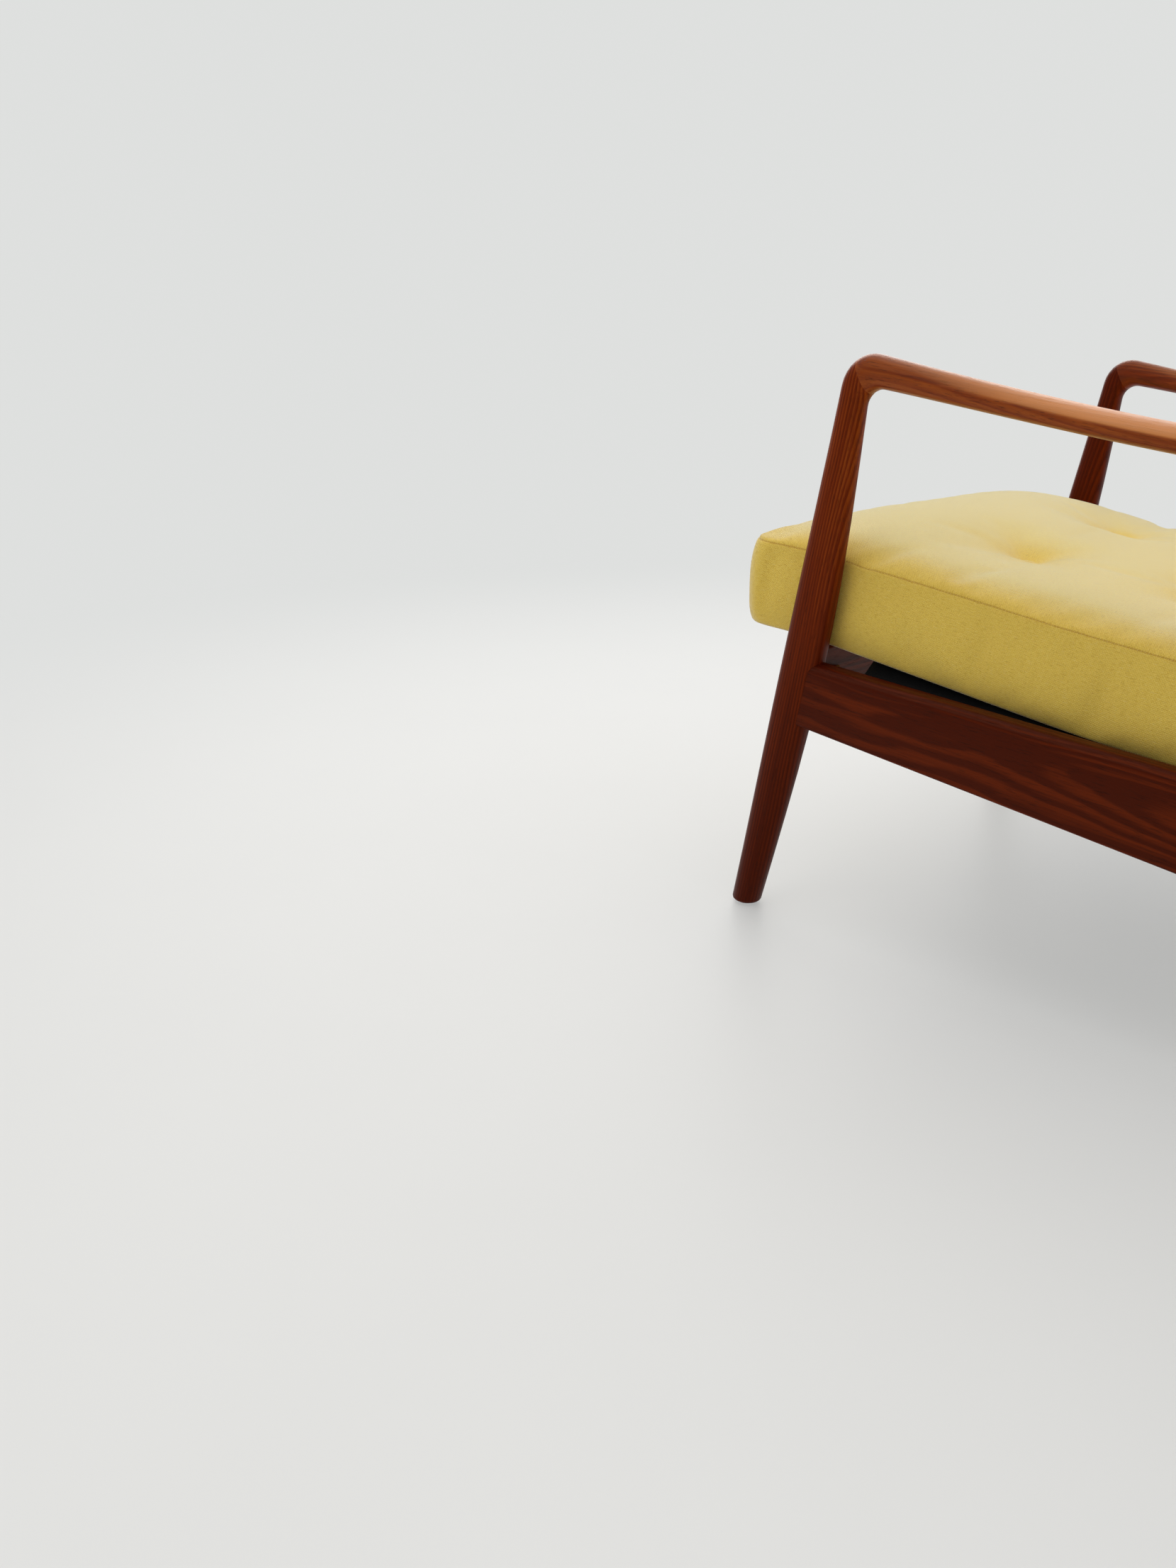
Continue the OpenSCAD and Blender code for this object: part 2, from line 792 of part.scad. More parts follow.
module back_stile(side) {
    low = rounded_box([-stile_w / 2, -stile_t / 2], [stile_w / 2, stile_t / 2], stile_round);
    high = rounded_box([-stile_top_w / 2, -stile_top_t / 2], [stile_top_w / 2, stile_top_t / 2], stile_round);
    color(teak)
        left_or_right(side)
            difference() {
                in_back_frame()
                    difference() {
                        loft([[for (p = low) [stile_x + p[0], p[1], stile_low]],
                            [for (p = low) [stile_x + p[0], p[1], bottom_rail_z + bottom_rail_h]],
                            [for (p = high) [stile_x + p[0], p[1], crest_z - fit]]]);
                        bottom_rail_tenon(fit);
                        crest_dowel(fit);
                        at_low_bolt()
                            translate([0, 0, -1])
                                cylinder(r = bolt_r + fit, h = low_bolt_tip);
                    }
                at_high_bolt()
                    cylinder(r = bolt_r + fit, h = high_bolt_tip);
            }
}

// The crest rail bows backwards, and its top falls a little and rounds over towards its ends
function crest_ring(x, inset) =
    let (u = x / crest_half,
         y = bow_at(x),
         half = crest_t / 2 - inset,
         top = crest_z + crest_h - crest_end_drop * pow(u, 4) - inset)
    [for (p = rounded_box([y - half, crest_z], [y + half, top], crest_round - inset))
        [x, p[0], p[1]]];

crest_end_r = 6;
crest_rings = concat(
    [for (k = [0:crest_end_steps - 1])
        let (a = 90 * k / crest_end_steps)
        crest_ring(-crest_half + crest_end_r * (1 - cos(a)), crest_end_r * (1 - sin(a)))],
    [for (i = [0:crest_steps])
        crest_ring((crest_half - crest_end_r) * (2 * i / crest_steps - 1), 0)],
    [for (k = [crest_end_steps - 1:-1:0])
        let (a = 90 * k / crest_end_steps)
        crest_ring(crest_half - crest_end_r * (1 - cos(a)), crest_end_r * (1 - sin(a)))]);

module crest_dowel(grow = 0) {
    translate([stile_x, 0, crest_z - crest_dowel_len / 2 - grow])
        cylinder(r = crest_dowel_r + grow, h = crest_dowel_len + 2 * grow);
}

function slat_x(i) = (i - (slat_count + 1) / 2) * 2 * (stile_x - stile_w / 2) / (slat_count + 1);

module slat_tenon(i, low, high, grow = 0) {
    translate([slat_x(i), bow_at(slat_x(i)), (low + high) / 2])
        cube([slat_tenon_w + 2 * grow, slat_tenon_t + 2 * grow, high - low + 2 * grow], center = true);
}

module back_crest_rail() {
    color(teak)
        in_back_frame()
            difference() {
                loft(crest_rings);
                for (side = [1, -1])
                    left_or_right(side)
                        crest_dowel(fit);
                for (i = [1:slat_count])
                    slat_tenon(i, crest_z - 1, crest_z + slat_tenon_len, fit);
            }
}

module crest_rail_dowels() {
    color(beech)
        in_back_frame()
            for (side = [1, -1])
                left_or_right(side)
                    crest_dowel();
}

bottom_end_x = stile_x - stile_w / 2;

module bottom_rail_tenon(grow = 0) {
    box_between([bottom_end_x - 1, -rail_tenon_t / 2 - grow, bottom_rail_z + bottom_tenon_margin - grow],
        [bottom_end_x + bottom_tenon_len + grow, rail_tenon_t / 2 + grow,
            bottom_rail_z + bottom_rail_h - bottom_tenon_margin + grow]);
}

module back_bottom_rail() {
    end = bottom_end_x - fit;
    xs = [for (i = [0:crest_steps]) end * (2 * i / crest_steps - 1)];
    front = [for (x = xs) [x, bow_at(x) - bottom_rail_t / 2]];
    rear = [for (i = [crest_steps:-1:0]) [xs[i], bow_at(xs[i]) + bottom_rail_t / 2]];
    color(teak)
        in_back_frame()
            difference() {
                union() {
                    translate([0, 0, bottom_rail_z])
                        linear_extrude(bottom_rail_h)
                            polygon(concat(front, rear));
                    for (side = [1, -1])
                        left_or_right(side)
                            bottom_rail_tenon();
                }
                for (i = [1:slat_count])
                    slat_tenon(i, bottom_rail_z + bottom_rail_h - slat_tenon_len,
                        bottom_rail_z + bottom_rail_h + 1, fit);
            }
}

module back_slat(i) {
    low = bottom_rail_z + bottom_rail_h + fit;
    high = crest_z - fit;
    color(teak)
        in_back_frame() {
            translate([slat_x(i), bow_at(slat_x(i)), low])
                linear_extrude(high - low)
                    polygon(rounded_box([-slat_w / 2, -slat_t / 2], [slat_w / 2, slat_t / 2], slat_round));
            slat_tenon(i, low - slat_tenon_len + 2 * fit, high + slat_tenon_len - 2 * fit);
        }
}

// Bolts. The high bolt runs along +X through a stile into a rear leg, where their middles cross, and the low
// one runs backwards through the stile into the rear seat rail.

high_bolt_z = (rear_axis(0) - back_depth + back_ref_z * tan(recline)) / (tan(recline) + tan(rear_lean));
high_bolt_head = stile_x - stile_w / 2 - washer_t - 2 * fit;
high_bolt_tip = spotface_x + insert_len - 1;
low_bolt_tip = stile_t + insert_len;

module at_high_bolt() {
    translate([0, rear_axis(high_bolt_z) - depth_mid, high_bolt_z])
        rotate([0, 90, 0])
            children();
}

module at_low_bolt() {
    translate([stile_x, -stile_t / 2, low_bolt_z])
        rotate([-90, 0, 0])
            children();
}

// A slotted bolt along +Z, its head below the origin
module slotted_bolt(len) {
    difference() {
        union() {
            translate([0, 0, -bolt_head_h])
                cylinder(r = bolt_head_r, h = bolt_head_h);
            translate([0, 0, -1])
                cylinder(r = bolt_r, h = len + 1);
        }
        translate([-bolt_head_r - 1, -bolt_slot_w / 2, -bolt_head_h - 1])
            cube([2 * bolt_head_r + 2, bolt_slot_w, bolt_slot_w + 1]);
    }
}

module ring_washer(r_out, r_in, h) {
    difference() {
        cylinder(r = r_out, h = h);
        translate([0, 0, -1])
            cylinder(r = r_in, h = h + 2);
    }
}

module back_frame_bolts() {
    color(steel)
        for (side = [1, -1])
            left_or_right(side) {
                at_high_bolt()
                    translate([0, 0, high_bolt_head])
                        slotted_bolt(high_bolt_tip - high_bolt_head);
                in_back_frame()
                    at_low_bolt()
                        translate([0, 0, -washer_t - 2 * fit])
                            slotted_bolt(low_bolt_tip);
            }
}

module bolt_washers() {
    color(steel)
        for (side = [1, -1])
            left_or_right(side) {
                at_high_bolt()
                    translate([0, 0, high_bolt_head + fit])
                        ring_washer(washer_r, bolt_r + fit, washer_t);
                in_back_frame()
                    at_low_bolt()
                        translate([0, 0, -washer_t - fit])
                            ring_washer(washer_r, bolt_r + fit, washer_t);
            }
}

module threaded_inserts() {
    color(brass)
        for (side = [1, -1])
            left_or_right(side) {
                at_high_bolt()
                    translate([0, 0, spotface_x])
                        ring_washer(insert_r, bolt_r + fit / 2, insert_len);
                in_back_frame()
                    at_low_bolt()
                        translate([0, 0, stile_t + 2 * fit])
                            ring_washer(insert_r, bolt_r + fit / 2, insert_len);
            }
}

module spacer_collars() {
    start = stile_x + stile_w / 2 + fit;
    color(brass)
        for (side = [1, -1])
            left_or_right(side)
                at_high_bolt()
                    translate([0, 0, start])
                        ring_washer(collar_r, bolt_r + fit, spotface_x - fit - start);
}

// Seat straps: each is a ribbon whose ends turn down into the rails' grooves, where a clip grips them

function unit(v) = v / norm(v);
function left_of(v) = [-v[1], v[0]];

// Outline of a ribbon of thickness t along a path, with mitred bends
function ribbon(path, t) =
    let (n = len(path) - 1,
         offsets = [for (i = [0:n])
            let (a = left_of(unit(path[max(i, 1)] - path[max(i, 1) - 1])),
                 b = left_of(unit(path[min(i, n - 1) + 1] - path[min(i, n - 1)])),
                 m = unit(a + b))
            m * t / 2 / (m * a)])
    concat([for (i = [0:n]) path[i] + offsets[i]], [for (i = [n:-1:0]) path[i] - offsets[i]]);

strap_path = [
    front_rail_point([0, seat_rail_h / 2 - groove_depth + strap_end_gap]),
    front_rail_point([0, seat_rail_h / 2 + strap_t / 2 + fit]),
    strap_front,
    strap_rear,
    back_point([rear_rail_y, rear_rail_top + strap_t / 2 + fit]),
    back_point([rear_rail_y, rear_rail_top - groove_depth + strap_end_gap])];

function strap_x(i) = (i - (strap_count + 1) / 2) * strap_pitch;

module seat_strap(i) {
    color(webbing)
        plate(ribbon(strap_path, strap_t), strap_x(i) - strap_w / 2, strap_x(i) + strap_w / 2);
}

// A folded steel clip, open upwards, in local y and z
module webbing_clip(y, bottom) {
    outer = strap_t / 2 + clip_wall + fit;
    inner = strap_t / 2 + fit;
    rotate([90, 0, 90])
        linear_extrude(strap_w - 2, center = true)
            polygon([[y - outer, bottom], [y + outer, bottom], [y + outer, bottom + clip_h],
                [y + inner, bottom + clip_h], [y + inner, bottom + clip_wall + fit],
                [y - inner, bottom + clip_wall + fit], [y - inner, bottom + clip_h],
                [y - outer, bottom + clip_h]]);
}

clip_drop = groove_depth - strap_end_gap + clip_wall + 2 * fit;

module front_webbing_clips() {
    color(steel)
        in_front_rail()
            for (i = [1:strap_count])
                translate([strap_x(i), 0, 0])
                    webbing_clip(0, seat_rail_h / 2 - clip_drop);
}

module rear_webbing_clips() {
    color(steel)
        in_back_frame()
            for (i = [1:strap_count])
                translate([strap_x(i), 0, 0])
                    webbing_clip(rear_rail_y, rear_rail_top - clip_drop);
}

// Platform cloth

hem_x = rail_in_x - fit;

// Half of the cloth's outline from its underside over the straps, round the hem and back over the top
function cloth_half(d) =
    let (low = cloth_z(d), hem = hem_z(d), in_x = hem_x - cloth_t)
    [[cloth_flat_x, low], [in_x, hem - cloth_t], [in_x, hem - cloth_hem],
        [hem_x, hem - cloth_hem], [hem_x, hem], [cloth_flat_x, low + cloth_t]];
function cloth_ring(d) =
    let (half = cloth_half(d))
    [for (c = concat([for (c = half) [-c[0], c[1]]], reversed(half)))
        [c[0], d - depth_mid, c[1]]];

module platform_cloth() {
    color(cotton)
        difference() {
            loft([for (i = [0:cloth_steps]) cloth_ring(mix(cloth_front, cloth_rear, i / cloth_steps))]);
            for (side = [1, -1])
                left_or_right(side)
                    hem_tacks(fit);
        }
}

// Tacks driven outwards through the hem into a side rail
module hem_tacks(grow = 0) {
    for (k = [0:tack_count - 1])
        let (d = mix(cloth_front, cloth_rear, (2 * k + 1) / (2 * tack_count)))
        translate([hem_x - cloth_t - fit, d - depth_mid, hem_z(d) - cloth_hem / 2])
            rotate([0, 90, 0]) {
                cylinder(r = tack_r + grow, h = tack_len + grow, $fn = tack_fn);
                translate([0, 0, -tack_head_h])
                    cylinder(r1 = tack_head_r / 2, r2 = tack_head_r, h = tack_head_h, $fn = tack_fn);
            }
}

module platform_tacks() {
    color(steel)
        for (side = [1, -1])
            left_or_right(side)
                hem_tacks();
}

// Cushions. Each is laid out lying on its underside: x across, y along its length and z up to its crown.

// Height of the bottom of the wells that hold the tufting buttons
function tuft_floor(seam) = seam + crown_h - tuft_depth;

function pillow_ring(w, len, z, shrink, inset) =
    let (hx = w / 2 * (1 - shrink) - inset,
         hy = len / 2 * (1 - shrink) - inset,
         r = corner_r * (1 - shrink) - inset / 2)
    [for (p = rounded_box([-hx, len / 2 - hy], [hx, len / 2 + hy], r, corner_steps))
        [p[0], p[1], z]];

// Rise of the crown where its outline has shrunk by this share
function crown_rise(shrink) =
    crown_h * (1 - pow(1 - shrink, crown_power)) / (1 - pow(1 - crown_inset, crown_power));

// A boxed cushion with a rolled lower edge and a crowned top, all faces moved inwards by skin
module pillow(w, len, seam, skin = 0) {
    roll = edge_roll / 2;
    sides = [for (k = [0:roll_steps])
        let (a = 90 * k / roll_steps)
        pillow_ring(w, len, skin + roll * (1 - cos(a)), 0, skin + roll * (1 - sin(a)))];
    crown = [for (k = [0:crown_steps])
        let (s = crown_inset * pow(k / crown_steps, crown_spread))
        pillow_ring(w, len, seam - skin + crown_rise(s), s, skin)];
    loft(concat(sides, crown));
}

module at_tufts(rows) {
    for (x = [-tuft_span / 2, tuft_span / 2], y = rows)
        translate([x, y, 0])
            children();
}

// The zip lies in the side at depth y, which is either 0 or the cushion's length
module zip_slot(y, seam) {
    translate([0, y, seam / 2])
        cube([zip_len + 2 * fit, 3 * cover_t, zip_w + 2 * fit], center = true);
}

module cushion_cover(w, len, seam, rows, zip_y) {
    difference() {
        pillow(w, len, seam);
        pillow(w, len, seam, cover_t);
        at_tufts(rows) {
            translate([0, 0, tuft_floor(seam)])
                cylinder(r = well_r, h = crown_h);
            translate([0, 0, -cover_t])
                cylinder(r = twine_bore_r, h = crown_h);
        }
        zip_slot(zip_y, seam);
    }
}

module cushion_core(w, len, seam, rows) {
    difference() {
        pillow(w, len, seam, cover_t + seat_gap);
        at_tufts(rows) {
            translate([0, 0, tuft_floor(seam)])
                cylinder(r = well_r, h = crown_h);
            cylinder(r = twine_bore_r, h = seam + crown_h);
        }
    }
}

// Domed buttons in the wells
module cushion_buttons(seam, rows) {
    at_tufts(rows)
        translate([0, 0, tuft_floor(seam) + fit])
            rotate_extrude()
                polygon(concat([[0, 0]],
                    [for (k = [0:corner_steps])
                        let (a = 90 * k / corner_steps)
                        [button_r * cos(a), button_rim + (button_h - button_rim) * sin(a)]]));
}

module cushion_twine(seam, rows) {
    at_tufts(rows)
        translate([0, 0, cover_t])
            cylinder(r = twine_r, h = tuft_floor(seam) - cover_t);
}

// A zip set in the slot, with its slider, facing +Y from depth 0
module cushion_zip(seam) {
    translate([0, -cover_t / 2, seam / 2]) {
        cube([zip_len, cover_t, zip_w], center = true);
        translate([zip_len / 2 - 2 * zip_w, cover_t, 0])
            cube([zip_w, zip_slider_t, zip_w / 2], center = true);
    }
}

module seat_cushion_cover() {
    color(wool)
        in_seat_cushion()
            cushion_cover(seat_w, seat_len, seat_seam_h, seat_tuft_rows, seat_len);
}

module seat_cushion_core() {
    color(foam)
        in_seat_cushion()
            cushion_core(seat_w, seat_len, seat_seam_h, seat_tuft_rows);
}

module seat_cushion_buttons() {
    color(wool)
        in_seat_cushion()
            cushion_buttons(seat_seam_h, seat_tuft_rows);
}

module seat_cushion_twine() {
    color(beech)
        in_seat_cushion()
            cushion_twine(seat_seam_h, seat_tuft_rows);
}

module seat_cushion_zip() {
    color(brass)
        in_seat_cushion()
            translate([0, seat_len, 0])
                cushion_zip(seat_seam_h);
}

module back_cushion_cover() {
    color(wool)
        in_back_cushion()
            cushion_cover(back_w, back_len, back_seam_h, back_tuft_rows, 0);
}

module back_cushion_core() {
    color(foam)
        in_back_cushion()
            cushion_core(back_w, back_len, back_seam_h, back_tuft_rows);
}

module back_cushion_buttons() {
    color(wool)
        in_back_cushion()
            cushion_buttons(back_seam_h, back_tuft_rows);
}

module back_cushion_twine() {
    color(beech)
        in_back_cushion()
            cushion_twine(back_seam_h, back_tuft_rows);
}

module back_cushion_zip() {
    color(brass)
        in_back_cushion()
            mirror([0, 1, 0])
                cushion_zip(back_seam_h);
}

front_leg(1);  // front_leg_left
front_leg(-1);  // front_leg_right
rear_leg(1);  // rear_leg_left
rear_leg(-1);  // rear_leg_right
armrest(1);  // armrest_left
armrest(-1);  // armrest_right
side_rail(1);  // side_rail_left
side_rail(-1);  // side_rail_right
front_seat_rail();
rear_seat_rail();
back_stile(1);  // back_stile_left
back_stile(-1);  // back_stile_right
back_crest_rail();
back_bottom_rail();
back_slat(1);  // back_slat_1
back_slat(2);  // back_slat_2
back_slat(3);  // back_slat_3
back_slat(4);  // back_slat_4
back_slat(5);  // back_slat_5
back_slat(6);  // back_slat_6
mitre_splines();
rear_rail_dowels();
crest_rail_dowels();
seat_corner_blocks();
corner_block_screws();
back_frame_bolts();
bolt_washers();
threaded_inserts();
spacer_collars();
seat_strap(1);  // seat_strap_1
seat_strap(2);  // seat_strap_2
seat_strap(3);  // seat_strap_3
seat_strap(4);  // seat_strap_4
seat_strap(5);  // seat_strap_5
seat_strap(6);  // seat_strap_6
seat_strap(7);  // seat_strap_7
front_webbing_clips();
rear_webbing_clips();
platform_cloth();
platform_tacks();
foot_glides();
seat_cushion_cover();
seat_cushion_core();
seat_cushion_buttons();
seat_cushion_twine();
seat_cushion_zip();
back_cushion_cover();
back_cushion_core();
back_cushion_buttons();
back_cushion_twine();
back_cushion_zip();
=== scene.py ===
"""Looks of the lounge armchair: teak frame, elastic straps and two tufted wool cushions.

Lengths are metres in the chair's frame: +X is the sitter's left, the front faces -Y and +Z is up.
"""

import math
import random

import bpy
import numpy as np
from mathutils import Matrix, Vector
from mathutils.bvhtree import BVHTree


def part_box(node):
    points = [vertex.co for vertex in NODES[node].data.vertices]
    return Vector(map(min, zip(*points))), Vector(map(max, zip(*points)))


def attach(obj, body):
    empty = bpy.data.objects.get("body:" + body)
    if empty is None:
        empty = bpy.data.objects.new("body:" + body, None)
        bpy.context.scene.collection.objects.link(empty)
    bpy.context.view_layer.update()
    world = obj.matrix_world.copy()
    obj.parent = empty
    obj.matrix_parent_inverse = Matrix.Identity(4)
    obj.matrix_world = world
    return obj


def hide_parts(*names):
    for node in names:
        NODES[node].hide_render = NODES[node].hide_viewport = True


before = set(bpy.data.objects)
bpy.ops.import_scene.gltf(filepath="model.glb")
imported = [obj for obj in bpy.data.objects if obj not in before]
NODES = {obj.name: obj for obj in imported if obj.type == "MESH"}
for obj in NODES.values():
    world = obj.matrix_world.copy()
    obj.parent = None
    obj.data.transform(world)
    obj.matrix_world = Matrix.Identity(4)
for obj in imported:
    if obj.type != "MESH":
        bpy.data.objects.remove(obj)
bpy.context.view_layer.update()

scene = bpy.context.scene


# Camera, at the photograph's viewpoint beside the front left foot

CAMERA_AT = Vector((1.3811, 0.3683, 0.60))
CAMERA_FORWARD = Vector((-0.6832, -0.6484, -0.3359))
CAMERA_ROLL = math.radians(0.801)
LENS_MM = 27.305
SENSOR_MM = 36
NEAR_CLIP = 0.02


def make_camera():
    """The photograph's camera, level but for a slight roll."""
    data = bpy.data.cameras.new("camera")
    data.lens = LENS_MM
    data.sensor_width = SENSOR_MM
    data.clip_start = NEAR_CLIP
    camera = bpy.data.objects.new("camera", data)
    scene.collection.objects.link(camera)
    level = CAMERA_FORWARD.to_track_quat("-Z", "Y").to_matrix()
    camera.matrix_world = Matrix.Translation(CAMERA_AT) @ (
        level @ Matrix.Rotation(CAMERA_ROLL, 3, "Z")
    ).to_4x4()
    scene.camera = camera


make_camera()
scene.view_settings.view_transform = "Standard"


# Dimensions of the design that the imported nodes' boxes don't give

FRONT_LEAN = math.radians(9.3)
REAR_LEAN = math.radians(10.2)
RECLINE = math.radians(20)
SEAT_SLOPE = math.radians(7.59)
SEAT_AT = (0, -0.420287, 0.3343)
BACK_AT = (0, 0.196713, 0.300)
BACK_CUSHION_STEP = (0, -0.0125, 0.045)
CORNER_R = 0.026
CROWN_H = 0.040
BUTTON_R = 0.011
TUFT_DEPTH = 0.036
TUFT_X = 0.125


# Node helpers


class Tree:
    """A small builder for node trees: values go to sockets by name or index, and sockets link to sockets."""

    def __init__(self, tree):
        self.tree = tree
        self.nodes = tree.nodes
        self.nodes.clear()

    def put(self, socket, value):
        if isinstance(value, bpy.types.NodeSocket):
            self.tree.links.new(value, socket)
        elif isinstance(value, bpy.types.Node):
            self.tree.links.new(value.outputs[0], socket)
        else:
            socket.default_value = value

    def add(self, kind, inputs=(), **settings):
        node = self.nodes.new(kind)
        for key, value in settings.items():
            setattr(node, key, value)
        for key, value in dict(inputs).items():
            self.put(node.inputs[key], value)
        return node

    def math(self, operation, a, b=0.0, clamp=False):
        return self.add("ShaderNodeMath", {0: a, 1: b}, operation=operation, use_clamp=clamp)

    def split(self, vector):
        """The vector's three parts, each as a socket."""
        return self.add("ShaderNodeSeparateXYZ", {"Vector": vector}).outputs[:3]

    def scaled(self, vector, x, y, z):
        return self.add("ShaderNodeVectorMath", {0: vector, 1: (x, y, z)}, operation="MULTIPLY")

    def noise(self, vector, detail=3.0, roughness=0.55):
        inputs = {"Vector": vector, "Scale": 1.0, "Detail": detail, "Roughness": roughness}
        return self.add("ShaderNodeTexNoise", inputs).outputs["Fac"]

    def ramp(self, value, low, high, to_low=0.0, to_high=1.0, smooth=False):
        """The value's range from low to high, brought to the range from to_low to to_high."""
        kind = "SMOOTHSTEP" if smooth else "LINEAR"
        inputs = {"Value": value, "From Min": low, "From Max": high, "To Min": to_low, "To Max": to_high}
        return self.add("ShaderNodeMapRange", inputs, interpolation_type=kind).outputs["Result"]

    def mix(self, factor, a, b):
        node = self.add("ShaderNodeMix", data_type="RGBA")
        for name, value in (("Factor_Float", factor), ("A_Color", a), ("B_Color", b)):
            socket = next(s for s in node.inputs if s.identifier == name)
            self.put(socket, value if not isinstance(value, tuple) else (*value, 1.0))
        return next(s for s in node.outputs if s.identifier == "Result_Color")

    def bump(self, height, distance, strength):
        return self.add("ShaderNodeBump", {"Height": height, "Distance": distance, "Strength": strength})


def new_material(name):
    material = bpy.data.materials.new(name)
    material.use_nodes = True
    return material, Tree(material.node_tree)


def surface(tree, inputs):
    shader = tree.add("ShaderNodeBsdfPrincipled", inputs)
    tree.add("ShaderNodeOutputMaterial", {"Surface": shader})


# Teak: growth rings round a pith beside the board, long tone bands, fibres, pores and a hand-rubbed finish,
# with painted shade towards the floor and, on the arms, a painted highlight on upward faces

TEAK_LIGHT = (0.410, 0.092, 0.0105)
TEAK_MID = (0.190, 0.0235, 0.0030)
TEAK_DARK = (0.036, 0.0022, 0.0013)
# The colour of a painted highlight on upward faces:
TEAK_HIGHLIGHT = (0.640, 0.238, 0.050)
TEAK_PORE = (0.012, 0.003, 0.002)
LACQUER_TINT = (1.0, 0.74, 0.48, 1.0)
# Along y, where the painted highlight grows in:
HIGHLIGHT_FROM = (-0.30, -0.06)
# By height, painted shade that darkens the teak towards the floor:
FOOT_SHADE = (0.50, 0.03, 0.0, 0.50)


def teak(name, along, centre, seed, pith, lines, tone=0.0, contrast=1.0, figure=1.0, polish=0.08, top_highlight=0.0):
    """A board whose grain runs along a direction. pith is where its rings are centred, beside the grain line.

    lines is the number of rings to a metre. The last argument sets a painted highlight: how much paler the
    upward faces are painted, growing towards the rear.
    """
    rng = random.Random(seed)
    material, t = new_material(name)
    turn = Vector(along).to_track_quat("Z", "X").to_euler()
    coords = t.add("ShaderNodeTexCoord").outputs["Object"]
    board = t.add(
        "ShaderNodeMapping",
        {"Vector": coords, "Location": Vector(centre), "Rotation": turn},
        vector_type="TEXTURE",
    ).outputs[0]
    away = t.add(
        "ShaderNodeVectorMath",
        {0: board, 1: tuple(rng.uniform(3, 40) for _ in range(3))},
        operation="ADD",
    ).outputs[0]

    wander = t.ramp(t.noise(t.scaled(away, 5, 5, 1.7), 2), 0.3, 0.7, -0.014 * figure, 0.014 * figure)
    ripple = t.ramp(t.noise(t.scaled(away, 30, 30, 7), 2), 0.3, 0.7, -0.0018 * figure, 0.0018 * figure)
    x, y, _ = t.split(board)
    dx = t.math("SUBTRACT", x, pith[0])
    dy = t.math("SUBTRACT", y, pith[1])
    radius = t.math("SQRT", t.math("ADD", t.math("MULTIPLY", dx, dx), t.math("MULTIPLY", dy, dy)))
    radius = t.math("ADD", t.math("ADD", radius, wander), ripple)
    rings = t.math("MULTIPLY", radius, lines)
    uneven = t.math("MULTIPLY", t.noise(t.scaled(away, 22, 22, 1.1), 1), 3.2)
    phase = t.math("FRACT", t.math("ADD", rings, uneven))
    late = t.math("MULTIPLY", t.ramp(phase, 0.10, 0.80, smooth=True), t.ramp(phase, 0.80, 0.99, 1.0, 0.0))

    bands = t.ramp(t.noise(t.scaled(away, 16, 16, 0.9), 3, 0.6), 0.36, 0.66, smooth=True)
    streak = t.ramp(t.noise(t.scaled(away, 70, 70, 1.6), 4, 0.65), 0.50, 0.78, smooth=True)
    fibre = t.ramp(t.noise(t.scaled(away, 520, 520, 11), 3, 0.6), 0.30, 0.70)
    hair = t.ramp(t.noise(t.scaled(away, 1700, 1700, 34), 2, 0.5), 0.30, 0.70)
    pores = t.ramp(t.noise(t.scaled(away, 1300, 1300, 64), 1, 0.4), 0.635, 0.70, smooth=True)

    depth = t.math("MULTIPLY", late, 0.34 * contrast)
    depth = t.math("ADD", depth, t.math("MULTIPLY", bands, 0.26 * max(figure, 1.0)))
    depth = t.math("ADD", depth, t.math("MULTIPLY", streak, 0.30 * contrast))
    depth = t.math("ADD", depth, t.math("MULTIPLY", fibre, 0.16))
    depth = t.math("ADD", depth, 0.16 + tone)
    _, along_y, along_z = t.split(coords)
    # Painted shade: every teak piece is painted darker towards the floor.
    depth = t.math("ADD", depth, t.ramp(along_z, *FOOT_SHADE), clamp=True)
    low = t.mix(t.ramp(depth, 0.0, 0.55), TEAK_LIGHT, TEAK_MID)
    colour = t.mix(t.ramp(depth, 0.45, 1.15), low, TEAK_DARK)
    colour = t.mix(t.math("MULTIPLY", hair, 0.20), colour, TEAK_DARK)
    colour = t.mix(t.math("MULTIPLY", pores, 0.40), colour, TEAK_PORE)

    # Painted highlight: the upward faces are painted paler, more so towards the rear.
    if top_highlight:
        upward = t.split(t.add("ShaderNodeNewGeometry").outputs["Normal"])[2]
        inward = t.ramp(along_y, *HIGHLIGHT_FROM, smooth=True)
        painted_highlight = t.math("MULTIPLY", t.ramp(upward, 0.25, 0.95, 0.0, top_highlight, smooth=True), inward)
        colour = t.mix(painted_highlight, colour, TEAK_HIGHLIGHT)

    relief = t.math("ADD", t.math("MULTIPLY", fibre, 0.30), t.math("MULTIPLY", pores, -1.0))
    relief = t.math("ADD", relief, t.math("MULTIPLY", late, 0.35))
    rough = t.math("ADD", 0.27, t.math("MULTIPLY", hair, 0.07))
    rough = t.math("ADD", rough, t.math("MULTIPLY", pores, 0.22))
    rub = t.ramp(t.noise(t.scaled(away, 14, 14, 6), 3), 0.35, 0.7, 0.0, 0.07)
    rough = t.math("ADD", rough, rub)
    surface(
        t,
        {
            "Base Color": colour,
            "Roughness": rough,
            "Normal": t.bump(relief, 0.00022, 0.55),
            "Specular IOR Level": polish,
            "Specular Tint": LACQUER_TINT,
        },
    )
    return material


